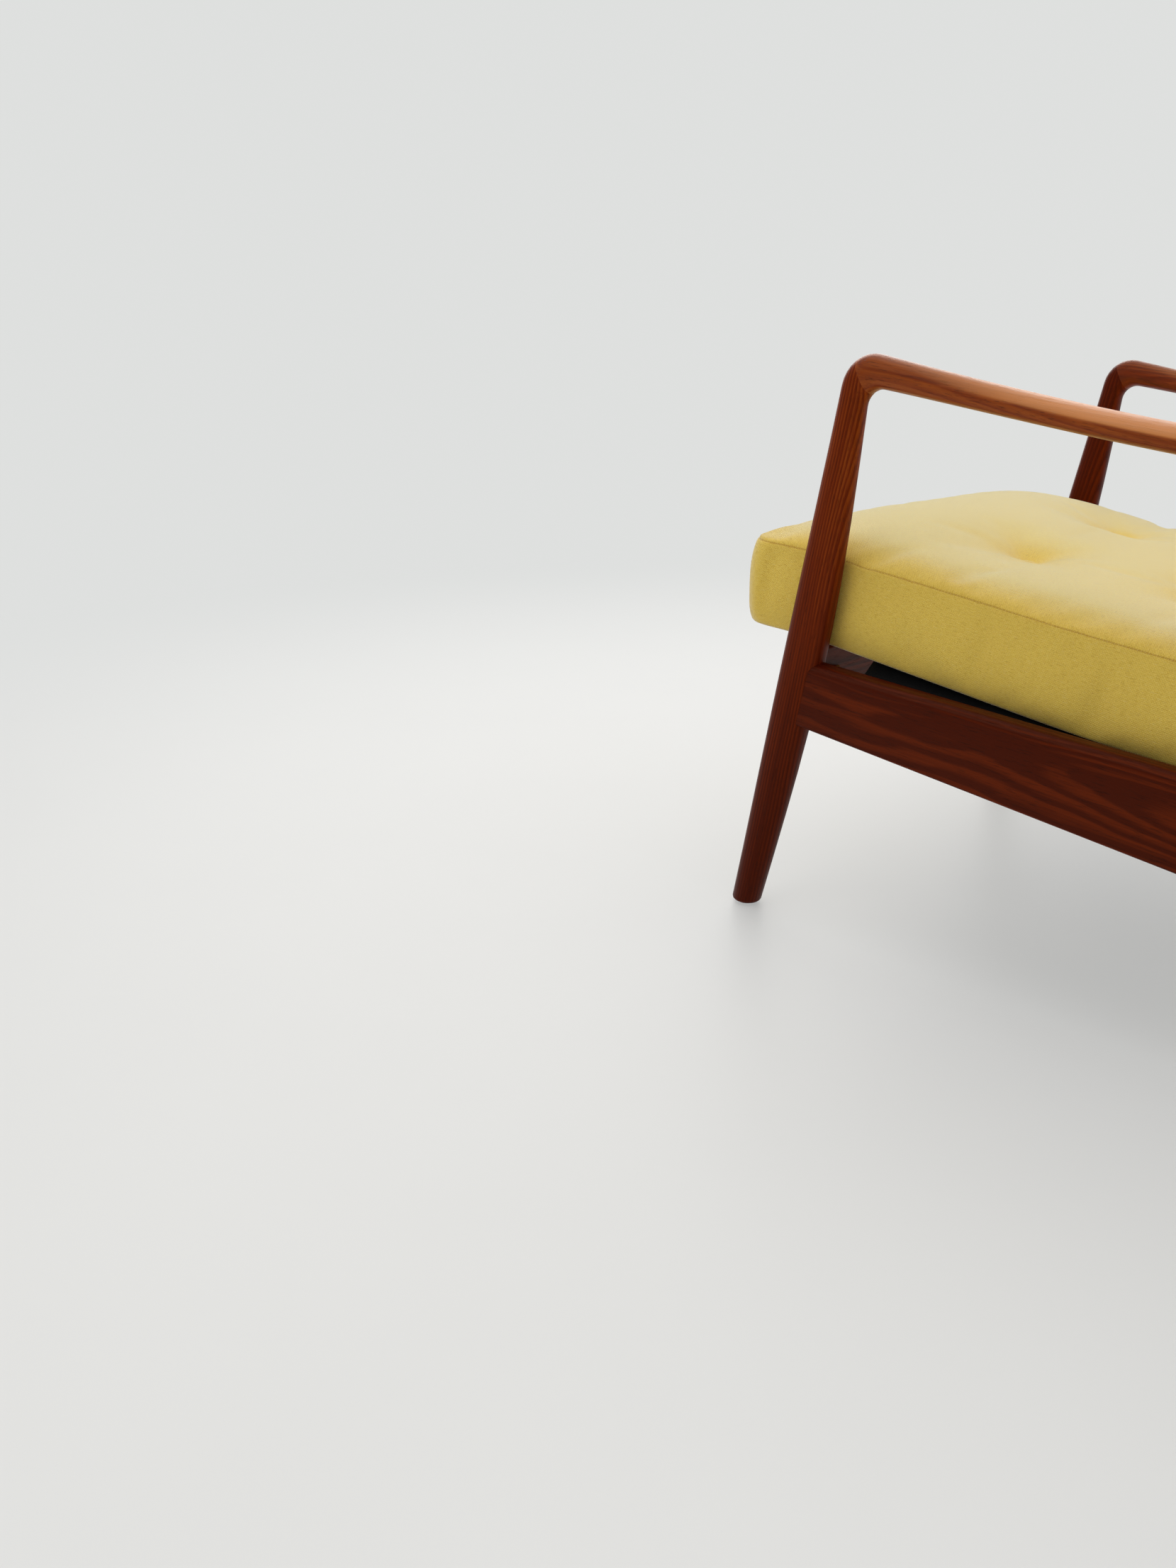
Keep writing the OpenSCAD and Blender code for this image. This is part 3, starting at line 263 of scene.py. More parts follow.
def beech():
    """Plain pale beech, for the hidden splines, dowels and blocks."""
    material, t = new_material("beech")
    coords = t.add("ShaderNodeTexCoord").outputs["Object"]
    fleck = t.ramp(t.noise(t.scaled(coords, 240, 240, 30), 2), 0.56, 0.68, smooth=True)
    grain = t.noise(t.scaled(coords, 60, 60, 8), 4)
    colour = t.mix(grain, (0.50, 0.29, 0.13), (0.66, 0.43, 0.22))
    colour = t.mix(t.math("MULTIPLY", fleck, 0.5), colour, (0.33, 0.16, 0.06))
    surface(
        t,
        {
            "Base Color": colour,
            "Roughness": t.ramp(grain, 0, 1, 0.6, 0.8),
            "Specular IOR Level": 0.12,
            "Normal": t.bump(grain, 0.0003, 0.4),
        },
    )
    return material


def metal(name, dull, bright, roughness):
    """Plated metal, clouded with dull patches and finely brushed."""
    material, t = new_material(name)
    coords = t.add("ShaderNodeTexCoord").outputs["Object"]
    cloud = t.noise(t.scaled(coords, 90, 90, 90), 4, 0.6)
    brushed = t.noise(t.scaled(coords, 1800, 1800, 160), 2, 0.5)
    rough = t.ramp(cloud, 0.3, 0.7, roughness, roughness + 0.18)
    surface(
        t,
        {
            "Base Color": t.mix(t.ramp(cloud, 0.35, 0.7), bright, dull),
            "Metallic": 1.0,
            "Roughness": t.math("ADD", rough, t.math("MULTIPLY", brushed, 0.12)),
            "Normal": t.bump(brushed, 0.0001, 0.3),
        },
    )
    return material


CORD_PITCH = 0.0021
RIB_PITCH = 0.0026


def strap_rubber():
    """Woven rubber strap: rows of ribs across it and fine cords along it."""
    material, t = new_material("strap_rubber")
    coords = t.add("ShaderNodeTexCoord").outputs["Object"]
    x, y, z = t.split(coords)
    along = t.math("ADD", y, t.math("MULTIPLY", z, -0.4))
    cords = t.math("SINE", t.math("MULTIPLY", x, 2 * math.pi / CORD_PITCH))
    ribs = t.math("SINE", t.math("MULTIPLY", along, 2 * math.pi / RIB_PITCH))
    weave = t.math("MULTIPLY", cords, ribs)
    dust = t.noise(t.scaled(coords, 40, 40, 40), 4, 0.65)
    colour = t.mix(t.ramp(weave, -1, 1), (0.010, 0.009, 0.009), (0.030, 0.028, 0.026))
    colour = t.mix(t.ramp(dust, 0.5, 0.8, 0, 0.35), colour, (0.075, 0.065, 0.055))
    rough = t.ramp(dust, 0.3, 0.7, 0.6, 0.85)
    surface(t, {"Base Color": colour, "Roughness": rough, "Normal": t.bump(weave, 0.0004, 0.7)})
    return material


# Wool and thread

WOOL_PALE = (0.920, 0.690, 0.148)
WOOL_MID = (0.825, 0.570, 0.081)
WOOL_DEEP = (0.480, 0.240, 0.020)
WOOL_FLECK = (0.860, 0.730, 0.330)
# A painted sheen's pale colour, for the crown's top:
WOOL_SHEEN = (0.850, 0.870, 0.600)
# The colour of painted shade in the seams' grooves:
WOOL_SEAM_SHADE = (0.400, 0.165, 0.012)
YARN = 0.00115


def wool(name, uv=None):
    """Mustard wool in a plain weave of slubby melange yarns, laid out by the fabric's own coordinates.

    A cover has them in a UV map, and it says where its crown is painted paler, as painted sheen, and where
    its seams are painted darker, as painted shade.
    """
    material, t = new_material(name)
    if uv:
        cloth = t.add("ShaderNodeUVMap", uv_map=uv).outputs[0]
    else:
        cloth = t.add("ShaderNodeTexCoord").outputs["Object"]
    swim = t.math("MULTIPLY", t.noise(t.scaled(cloth, 55, 55, 55), 2), 0.0011)
    u, v, _ = t.split(cloth)
    weft = t.math("SINE", t.math("MULTIPLY", t.math("ADD", v, swim), math.pi / YARN))
    warp = t.math("SINE", t.math("MULTIPLY", t.math("ADD", u, swim), math.pi / YARN))
    over = t.math("MULTIPLY", weft, warp)
    yarn = t.math("ADD", t.math("MULTIPLY", over, 0.5), 0.5)

    slub = t.noise(t.scaled(cloth, 150, 1150, 300), 3, 0.6)
    slub_warp = t.noise(t.scaled(cloth, 1150, 190, 300), 2, 0.6)
    melange = t.noise(t.scaled(cloth, 420, 900, 600), 3, 0.7)
    cloud = t.noise(t.scaled(cloth, 9, 9, 9), 3, 0.6)
    colour = t.mix(t.ramp(melange, 0.30, 0.70), WOOL_PALE, WOOL_MID)
    colour = t.mix(t.ramp(slub, 0.54, 0.74, 0.0, 0.55), colour, WOOL_DEEP)
    colour = t.mix(t.ramp(slub_warp, 0.56, 0.76, 0.0, 0.34), colour, WOOL_DEEP)
    colour = t.mix(t.ramp(slub, 0.42, 0.24, 0.0, 0.45), colour, WOOL_FLECK)
    colour = t.mix(t.ramp(yarn, 0.35, 0.0, 0.0, 0.40), colour, WOOL_DEEP)
    colour = t.mix(t.ramp(cloud, 0.35, 0.75, 0.0, 0.10), colour, WOOL_DEEP)
    if uv:
        # Painted sheen: the crown's top is painted paler, less so in the tufts' hollows.
        crown = t.add("ShaderNodeAttribute", attribute_name="crown").outputs["Fac"]
        colour = t.mix(t.math("MULTIPLY", crown, 0.36), colour, WOOL_SHEEN)
        # Painted shade darkens the seams' grooves.
        seam = t.add("ShaderNodeAttribute", attribute_name="seam_shade").outputs["Fac"]
        colour = t.mix(t.ramp(seam, 0.50, 0.95, 0.0, 0.55), colour, WOOL_SEAM_SHADE)

    fuzz = t.noise(t.scaled(cloth, 2600, 2600, 2600), 2, 0.6)
    height = t.math("ADD", yarn, t.math("MULTIPLY", fuzz, 0.5))
    height = t.math("ADD", height, t.math("MULTIPLY", slub, 1.1))
    surface(
        t,
        {
            "Base Color": colour,
            "Roughness": t.ramp(fuzz, 0.3, 0.7, 0.82, 0.97),
            "Specular IOR Level": 0.22,
            "Sheen Weight": 1.0,
            "Sheen Roughness": 0.32,
            "Sheen Tint": (1.0, 1.0, 0.95, 1.0),
            "Normal": t.bump(height, 0.00042, 0.75),
        },
    )
    return material


def sewing_thread():
    """Twisted cotton thread in the wool's colours."""
    material, t = new_material("sewing_thread")
    coords = t.add("ShaderNodeTexCoord").outputs["Object"]
    twist = t.noise(t.scaled(coords, 2500, 2500, 900), 2)
    colour = t.mix(twist, (0.70, 0.45, 0.09), (0.88, 0.64, 0.18))
    rough = t.ramp(twist, 0, 1, 0.65, 0.85)
    surface(t, {"Base Color": colour, "Roughness": rough, "Normal": t.bump(twist, 0.0001, 0.6)})
    return material


# Wooden pieces keep their CAD shapes. Their facets are welded and shaded smooth, and each has its own grain.

WELD = 0.000012
SHARP_EDGE = math.radians(31)


def smoothing_group():
    """Welds a node's facets and shades it smooth, except across its sharp edges."""
    group = bpy.data.node_groups.new("smooth_by_angle", "GeometryNodeTree")
    group.interface.new_socket("Geometry", in_out="INPUT", socket_type="NodeSocketGeometry")
    group.interface.new_socket("Geometry", in_out="OUTPUT", socket_type="NodeSocketGeometry")
    t = Tree(group)
    start = t.add("NodeGroupInput")
    merged = t.add("GeometryNodeMergeByDistance", {"Geometry": start.outputs[0], "Distance": WELD})
    faces = t.add("GeometryNodeSetShadeSmooth", {"Geometry": merged, "Shade Smooth": True}, domain="FACE")
    angle = t.add("GeometryNodeInputMeshEdgeAngle").outputs["Unsigned Angle"]
    flat = t.add("FunctionNodeCompare", {0: angle, 1: SHARP_EDGE}, data_type="FLOAT", operation="LESS_THAN")
    edges = t.add(
        "GeometryNodeSetShadeSmooth", {"Geometry": faces, "Shade Smooth": flat.outputs[0]}, domain="EDGE"
    )
    t.add("NodeGroupOutput", {0: edges})
    return group


SMOOTH = smoothing_group()


def finish_node(name, material):
    """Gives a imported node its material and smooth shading."""
    node = NODES[name]
    node.data.materials.clear()
    node.data.materials.append(material)
    if "custom_normal" in node.data.attributes:
        node.data.attributes.remove(node.data.attributes["custom_normal"])
    node.modifiers.new("smooth", "NODES").node_group = SMOOTH


def middle(name):
    """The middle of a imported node's box."""
    low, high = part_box(name)
    return (low + high) / 2


UP_FRONT_LEG = (0, math.sin(FRONT_LEAN), math.cos(FRONT_LEAN))
UP_REAR_LEG = (0, -math.sin(REAR_LEAN), math.cos(REAR_LEAN))
UP_BACK = (0, math.sin(RECLINE), math.cos(RECLINE))
ALONG_ARM = (0, 0.990, -0.141)
ALONG_SIDE_RAIL = (0, 0.995, -0.098)
ALONG_X = (1, 0, 0)

LEG = dict(contrast=0.75, figure=0.35)
# The arms get a painted highlight on their upward faces.
ARM = dict(contrast=0.6, figure=0.4, polish=0.26, top_highlight=0.75)

BOARDS = {
    "front_leg_left": (UP_FRONT_LEG, 11, (0.055, 0.02), 290, dict(LEG, tone=0.10)),
    # The far front leg is painted darker, as painted shade.
    "front_leg_right": (UP_FRONT_LEG, 12, (0.05, -0.03), 280, dict(LEG, tone=0.42)),
    "rear_leg_left": (UP_REAR_LEG, 13, (-0.05, 0.03), 270, dict(LEG, tone=0.10)),
    "rear_leg_right": (UP_REAR_LEG, 14, (0.06, 0.01), 280, dict(LEG, tone=0.18)),
    "armrest_left": (ALONG_ARM, 15, (0.02, 0.07), 210, ARM),
    "armrest_right": (ALONG_ARM, 16, (-0.02, 0.06), 220, dict(ARM, tone=0.18)),
    # The side rails' darker tone is partly their own dark figure and partly painted shade.
    "side_rail_left": (
        ALONG_SIDE_RAIL, 17, (0.012, 0.05), 150, dict(tone=0.16, contrast=1.20, figure=1.15, polish=0.1)
    ),
    "side_rail_right": (
        ALONG_SIDE_RAIL, 18, (-0.01, 0.055), 150, dict(tone=0.16, contrast=1.15, figure=1.10, polish=0.1)
    ),
    "front_seat_rail": (ALONG_X, 19, (0.04, 0.03), 170, dict(tone=0.08)),
    "rear_seat_rail": (ALONG_X, 20, (0.05, -0.03), 170, dict(tone=0.08)),
    "back_stile_left": (UP_BACK, 21, (0.04, 0.03), 220, {}),
    "back_stile_right": (UP_BACK, 22, (0.03, -0.04), 220, {}),
    "back_crest_rail": (ALONG_X, 23, (0.02, 0.06), 190, {}),
    "back_bottom_rail": (ALONG_X, 24, (0.03, 0.05), 190, dict(tone=0.05)),
    "back_slat_1": (UP_BACK, 25, (0.01, 0.05), 230, {}),
    "back_slat_2": (UP_BACK, 26, (-0.02, 0.04), 230, dict(tone=0.06)),
    "back_slat_3": (UP_BACK, 27, (0.03, 0.04), 210, {}),
    "back_slat_4": (UP_BACK, 28, (0.0, 0.06), 230, dict(tone=-0.03)),
    "back_slat_5": (UP_BACK, 29, (0.02, -0.05), 220, dict(tone=0.05)),
    "back_slat_6": (UP_BACK, 30, (-0.03, 0.04), 230, {}),
}
for name, (along, seed, pith, lines, look) in BOARDS.items():
    finish_node(name, teak("teak_" + name, along, middle(name), seed, pith, lines, **look))

STRAPS = 7
BEECH = beech()
STEEL = metal("zinc_steel", (0.42, 0.43, 0.44), (0.66, 0.67, 0.68), 0.28)
BRASS = metal("aged_brass", (0.36, 0.24, 0.09), (0.74, 0.56, 0.25), 0.24)
RUBBER = strap_rubber()
for name in ("mitre_splines", "rear_rail_dowels", "crest_rail_dowels", "seat_corner_blocks"):
    finish_node(name, BEECH)
for name in (
    "corner_block_screws",
    "back_frame_bolts",
    "bolt_washers",
    "front_webbing_clips",
    "rear_webbing_clips",
    "foot_glides",
):
    finish_node(name, STEEL)
for name in ("threaded_inserts", "spacer_collars"):
    finish_node(name, BRASS)
for i in range(STRAPS):
    finish_node(f"seat_strap_{i + 1}", RUBBER)


# Cushions. Each is laid out lying on its underside, as in the design: x across, y along it, z up to its crown

STEP = 0.0072
SEAM_LIP = 0.0017
SEAM_SINK = 0.0011
BOX_ROWS = 12
FRONT_SWELL = 0.005
BASE_TUCK = 0.006
WELL_FLOOR = CROWN_H - TUFT_DEPTH

# How much of the crown over a tuft's floor its wide hollow and its narrow funnel draw down
HOLLOW_SHARE = 0.62
HOLLOW_SPREAD = 0.045
HOLLOW_LEAN = 0.36
FOLD_SHARE = 0.15
FOLDS = 4
FUNNEL_SHARE = 0.42
FUNNEL_SPREAD = 0.0185

# How much fuller the crown is at its front edge, and how much flatter behind, and over what lengths
FRONT_FULLNESS = 0.18
FULL_TO = 0.26
REAR_FLATNESS = 0.26
FLAT_FROM = 0.12
FLAT_OVER = 0.18

# How far the simulation may move the cover: on the crown near its edge, and in its middle as well
EDGE_ROOM = 0.0015
MIDDLE_ROOM = 0.0020
LEAST_ROOM = 0.0003


class Layout:
    """Where a cushion lies, its sizes and how far its sides may fill out."""

    def __init__(self, name, place, width, length, seam, crown, rows, bulge):
        self.name = name
        self.place = place
        self.width, self.length = width, length
        self.seam, self.crown = seam, crown
        self.rows = rows
        self.bulge = bulge


def smooth(x):
    """An even rise from 0 to 1 with soft ends."""
    x = np.clip(x, 0, 1)
    return x * x * (3 - 2 * x)


def rounded(points, width, length):
    """Pulls the corners of a rectangular grid in to the cushion's corner radius."""
    half = np.array([width / 2, length / 2])
    inner = half - CORNER_R
    over = (np.abs(points) - inner) / CORNER_R
    corner = (over > 0).all(1)
    u, v = over[corner].T
    disc = np.stack([u * np.sqrt(1 - v * v / 2), v * np.sqrt(1 - u * u / 2)], 1)
    points = points.copy()
    points[corner] = np.sign(points[corner]) * (inner + disc * CORNER_R)
    return points


def tufts(layout):
    """The tufts' places on the cushion, counted from its middle."""
    return [(x, row - layout.length / 2) for x in (-TUFT_X, TUFT_X) for row in layout.rows]


def crown_height(points, layout):
    """Height of the crown over the seam: a full pillow, drawn down at each tuft and gently outward of it."""
    u = np.abs(points[:, 0]) / (layout.width / 2)
    v = np.abs(points[:, 1]) / (layout.length / 2)
    dome = np.clip((1 - u**2.6) * (1 - v**4.2), 0, 1)
    along = points[:, 1] + layout.length / 2
    fuller = 1 + FRONT_FULLNESS * (1 - smooth(along / FULL_TO))
    fuller -= REAR_FLATNESS * smooth((along - FLAT_FROM) / FLAT_OVER)
    height = layout.crown * fuller * dome**0.52
    pull = np.zeros(len(points))
    for x, y in tufts(layout):
        dx, dy = points[:, 0] - x, points[:, 1] - y
        outward = smooth(dx * math.copysign(1, x) / 0.05)
        away = np.hypot(dx, dy)
        wide = np.hypot(dx * (1 - (1 - HOLLOW_LEAN) * outward), dy)
        folds = 1 + FOLD_SHARE * np.cos(FOLDS * np.arctan2(dy, dx) - math.pi) * smooth(away / 0.03)
        hollow = HOLLOW_SHARE * np.exp(-((wide / HOLLOW_SPREAD) ** 1.6)) * folds
        pull += hollow + FUNNEL_SHARE * np.exp(-((away / FUNNEL_SPREAD) ** 2))
    edge = np.minimum(1 - u, 1 - v) * layout.width / 2
    spare = np.maximum(height - WELL_FLOOR + 0.0003, 0)
    return height - spare * np.minimum(pull, 1) * smooth(edge / 0.045)


def spaced(size, count):
    """Grid lines from -1 to 1, with a narrow first and last step for the fabric's lip beside the seam."""
    lip = 2 * SEAM_LIP / size
    return np.concatenate([[-1], np.linspace(-1 + lip, 1 - lip, count - 1), [1]])


def shell(layout):
    """The sewn cover as one closed grid of quads, with the fabric's coordinates in its UV map."""
    width, length, seam = layout.width, layout.length, layout.seam
    nx = round(width / STEP / 2) * 2
    ny = round(length / STEP / 2) * 2
    gx, gy = np.meshgrid(spaced(width, nx), spaced(length, ny), indexing="ij")
    flat = np.stack([gx.ravel() * width / 2, gy.ravel() * length / 2], 1)
    plan = rounded(flat, width, length)
    centred = np.array([0, length / 2])

    def index(i, j):
        return i * (ny + 1) + j

    ring = [index(nx // 2 - k, ny) for k in range(nx // 2)]
    ring += [index(0, ny - k) for k in range(ny)]
    ring += [index(k, 0) for k in range(nx)]
    ring += [index(nx, k) for k in range(ny)]
    ring += [index(nx - k, ny) for k in range(nx // 2)]
    top = np.column_stack([plan + centred, seam + crown_height(plan, layout)])
    top[ring, 2] = seam
    around = plan[ring]
    inward = around / np.linalg.norm(around, axis=1, keepdims=True)
    lip = SEAM_LIP / seam
    falls = np.concatenate([[lip], np.linspace(0.07, 0.93, BOX_ROWS - 3), [1 - lip]])
    walls = []
    for s in falls:
        swell = np.where(around[:, 1] < -length / 2 + CORNER_R, FRONT_SWELL, 0.0) * math.sin(math.pi * s**0.7)
        xy = around - inward * (0.75 * BASE_TUCK * smooth((s - 0.86) / 0.14) - swell[:, None])
        walls.append(np.column_stack([xy + centred, np.full(len(xy), seam * (1 - s))]))
    tucked = plan * (1 - BASE_TUCK / np.array([width / 2, length / 2]))
    base = np.column_stack([tucked + centred, np.zeros(len(plan))])
    points = np.vstack([top, *walls, base])
    n_top, n_ring = len(top), len(ring)
    base_at = n_top + len(walls) * n_ring

    faces, cloth = [], []
    for i in range(nx):
        for j in range(ny):
            quad = [index(i, j), index(i + 1, j), index(i + 1, j + 1), index(i, j + 1)]
            faces.append(quad)
            cloth += [tuple(flat[q]) for q in quad]
            faces.append([base_at + q for q in reversed(quad)])
            cloth += [tuple(flat[q]) for q in reversed(quad)]
    along = np.concatenate([[0], np.cumsum(np.linalg.norm(around - np.roll(around, -1, 0), axis=1))])
    rows = [ring] + [[n_top + k * n_ring + i for i in range(n_ring)] for k in range(len(walls))]
    rows.append([base_at + r for r in ring])
    heights = seam * (1 - np.concatenate([[0], falls, [1]]))
    for k in range(len(rows) - 1):
        for i in range(n_ring):
            j = (i + 1) % n_ring
            faces.append([rows[k][i], rows[k + 1][i], rows[k + 1][j], rows[k][j]])
            cloth += [(along[i], heights[k]), (along[i], heights[k + 1])]
            cloth += [(along[i + 1], heights[k + 1]), (along[i + 1], heights[k])]

    mesh = bpy.data.meshes.new(layout.name)
    mesh.from_pydata([tuple(p) for p in points], [], faces)
    mesh.uv_layers.new(name="cloth").data.foreach_set("uv", np.array(cloth).ravel())
    piece = bpy.data.objects.new(layout.name, mesh)
    scene.collection.objects.link(piece)

    away = np.min([np.hypot(plan[:, 0] - x, plan[:, 1] - y) for x, y in tufts(layout)], axis=0)
    held = piece.vertex_groups.new(name="held")
    fixed = np.concatenate([ring, np.nonzero(away < BUTTON_R * 1.1)[0], np.arange(base_at, len(points))])
    held.add([int(i) for i in np.unique(fixed)], 1.0, "REPLACE")

    edge = np.minimum(width / 2 - np.abs(plan[:, 0]), length / 2 - np.abs(plan[:, 1]))
    room = np.zeros(len(points))
    room[:n_top] = EDGE_ROOM + MIDDLE_ROOM * smooth(edge / 0.06)
    for k, s in enumerate(falls):
        row = slice(n_top + k * n_ring, n_top + (k + 1) * n_ring)
        room[row] = layout.bulge * math.sin(math.pi * s) + LEAST_ROOM
    # Where the crown's top is painted paler, as painted sheen: away from the seams, and little in the tufts'
    # hollows.
    crown = np.zeros(len(points))
    crown[:n_top] = smooth(edge / 0.05) * (1 - 0.8 * np.exp(-((away / 0.042) ** 2)))
    return piece, room, crown, np.array(rows[0]), np.array(rows[-1])


FRAMES = 16
PRESSURE = 1.6
SLACK = 0.010


def inflate(piece, room):
    """Cloth simulation: pressure fills the sewn cover out, as far as each point's room lets it."""
    before = np.array([v.co for v in piece.data.vertices])
    modifier = piece.modifiers.new("cloth", "CLOTH")
    settings = modifier.settings
    settings.quality = 5
    settings.mass = 0.30
    settings.tension_stiffness = settings.compression_stiffness = 20
    settings.shear_stiffness = 8
    settings.bending_stiffness = 0.8
    settings.tension_damping = settings.compression_damping = settings.shear_damping = 10
    settings.air_damping = 5
    settings.use_pressure = True
    settings.uniform_pressure_force = PRESSURE
    settings.vertex_group_mass = "held"
    settings.pin_stiffness = 1.0
    settings.shrink_min = -SLACK
    settings.effector_weights.gravity = 0
    modifier.collision_settings.use_collision = False
    modifier.collision_settings.use_self_collision = False
    modifier.point_cache.frame_start = 1
    modifier.point_cache.frame_end = FRAMES
    for number in range(1, FRAMES + 1):
        scene.frame_set(number)
    evaluated = piece.evaluated_get(bpy.context.evaluated_depsgraph_get())
    after = np.array([v.co for v in evaluated.data.vertices])
    piece.modifiers.remove(modifier)
    scene.frame_set(1)
    move = after - before
    size = np.linalg.norm(move, axis=1)
    reach = np.maximum(room, 1e-6)
    move *= (reach * np.tanh(size / reach) / np.maximum(size, 1e-9))[:, None]
    piece.data.vertices.foreach_set("co", (before + move).ravel())
    piece.data.update()


# The seat cushion on its straps: it droops past the outer straps, less at the rear, and over the front rail

SEAT_DROOP = 0.0036
DROOP_GROWTH = 0.016
DROOP_FROM = (0.258, 0.12)
DROOP_OVER = 0.044
REAR_DROOP = 0.0035
REAR_FROM = 0.34
REAR_OVER = 0.22
FRONT_DROP = 0.0045
FRONT_REACH = 0.0060
FRONT_EDGE = 0.085

# The front legs pinch it, and a crease runs inward from each of them

LEG_AT = 0.112
LEG_HALF = 0.034
LEG_TILT = 0.03
PINCH_X = 0.3035
PINCH_FROM = 0.27
PINCH_SLACK = 0.012
CREASE_DEPTH = 0.0042
CREASE_HALF = 0.008
CREASE_SLANT = 0.55


def settle_seat(points, layout):
    """The seat cushion as it lies: it droops past the outer straps, and the front legs pinch it."""
    x, y, z = points.T
    low = 1 - 0.55 * smooth(z / layout.seam)
    late = smooth((y - REAR_FROM) / REAR_OVER)
    droop = (SEAT_DROOP + DROOP_GROWTH * np.clip(y - DROOP_FROM[1], 0, 0.3)) * (1 - late) + REAR_DROOP * late
    side = smooth((np.abs(x) - DROOP_FROM[0]) / DROOP_OVER) * droop
    front = smooth((FRONT_EDGE - y) / FRONT_EDGE)
    points[:, 2] = z - low * side - FRONT_DROP * front
    points[:, 1] = y - FRONT_REACH * front**2 * smooth(z / layout.seam)
    leg_y = LEG_AT + (z - layout.seam) * LEG_TILT
    near = np.exp(-(((y - leg_y) / LEG_HALF) ** 2))
    limit = PINCH_X + (1 - near) * PINCH_SLACK
    over = np.maximum(np.abs(x) - limit, 0) * smooth((np.abs(x) - PINCH_FROM) / 0.03)
    points[:, 0] = np.sign(x) * (np.abs(x) - over)
    crease = np.exp(-(((y - leg_y - 0.030 - CREASE_SLANT * (0.3045 - np.abs(x))) / CREASE_HALF) ** 2))
    reach = smooth((np.abs(x) - 0.235) / 0.05) * smooth((z - layout.seam * 0.9) / 0.02)
    points[:, 2] -= CREASE_DEPTH * crease * reach
    return points


LAYOUTS = [
    Layout(
        "seat_cushion",
        Matrix.Translation(SEAT_AT) @ Matrix.Rotation(-SEAT_SLOPE, 4, "X"),
        width=0.609,
        length=0.589,
        seam=0.091,
        crown=0.032,
        rows=(0.233, 0.430),
        bulge=0.0060,
    ),
    Layout(
        "back_cushion",
        Matrix.Translation(BACK_AT)
        @ Matrix.Rotation(-RECLINE, 4, "X")
        @ Matrix.Translation(BACK_CUSHION_STEP)
        @ Matrix.Rotation(math.pi / 2, 4, "X"),
        width=0.570,
        length=0.510,
        seam=0.084,
        crown=0.037,
        rows=(0.175, 0.350),
        bulge=0.0055,
    ),
]


STITCH_PITCH = 0.0034
STITCH_HALF = 0.0011
STITCH_R = 0.00027
STITCH_LIFT = 0.0002
STITCH_SKEW = 0.35
STITCH_SIDES = 6

# A stitch's sections: how far across the groove, how thick and how high, all as shares
STITCH_PROFILE = [(-1.0, 0.0, -0.9), (-0.55, 1.0, 0.0), (0.0, 1.15, 0.35), (0.55, 1.0, 0.0), (1.0, 0.0, -0.9)]


def stitches(name, path, normals):
    """Bars of thread across the groove of a seam, as one mesh. path is the closed line of the seam."""
    closed = np.vstack([path, path[:1]])
    ups = np.vstack([normals, normals[:1]])
    steps = np.linalg.norm(np.diff(closed, axis=0), axis=1)
    run = np.concatenate([[0], np.cumsum(steps)])
    at = np.arange(STITCH_PITCH / 2, run[-1], STITCH_PITCH)
    centre = np.stack([np.interp(at, run, closed[:, k]) for k in range(3)], 1)
    up = np.stack([np.interp(at, run, ups[:, k]) for k in range(3)], 1)
    up /= np.linalg.norm(up, axis=1, keepdims=True)
    ahead = np.stack([np.interp((at + 0.001) % run[-1], run, closed[:, k]) for k in range(3)], 1) - centre
    ahead /= np.linalg.norm(ahead, axis=1, keepdims=True)
    across = np.cross(up, ahead)
    n = STITCH_SIDES
    points, faces = [], []
    for c, u, f, a in zip(centre, up, ahead, across):
        first = len(points)
        for s, fat, rise in STITCH_PROFILE:
            lift = STITCH_LIFT + rise * STITCH_R * 1.6
            mid = c + a * STITCH_HALF * s + f * STITCH_HALF * STITCH_SKEW * s + u * lift
            for q in range(n if fat else 1):
                turn = q * 2 * math.pi / n
                points.append(mid + fat * STITCH_R * (f * math.cos(turn) + u * math.sin(turn)))
        rings = [first + 1, first + 1 + n, first + 1 + 2 * n]
        last = first + 1 + 3 * n
        for q in range(n):
            w = (q + 1) % n
            faces.append((first, rings[0] + q, rings[0] + w))
            for k in range(2):
                faces.append((rings[k] + q, rings[k + 1] + q, rings[k + 1] + w, rings[k] + w))
            faces.append((rings[2] + w, rings[2] + q, last))
    return solid(name, points, faces)


def solid(name, points, faces, flat=False):
    """A new piece of these points and faces."""
    mesh = bpy.data.meshes.new(name)
    mesh.from_pydata([tuple(p) for p in points], [], faces)
    for polygon in mesh.polygons:
        polygon.use_smooth = not flat
    piece = bpy.data.objects.new(name, mesh)
    scene.collection.objects.link(piece)
    return piece


def placed(piece, place, material, slot, *nodes):
    """Moves a piece to its place, gives it a material and hides the nodes that it replaces. The slot is not
    used.
    """
    piece.data.transform(place)
    piece.data.materials.append(material)
    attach(piece, "root")
    if nodes:
        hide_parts(*nodes)
    return piece


WOOL = wool("mustard_wool", "cloth")
WOOL_BUTTON = wool("button_wool")
THREAD = sewing_thread()


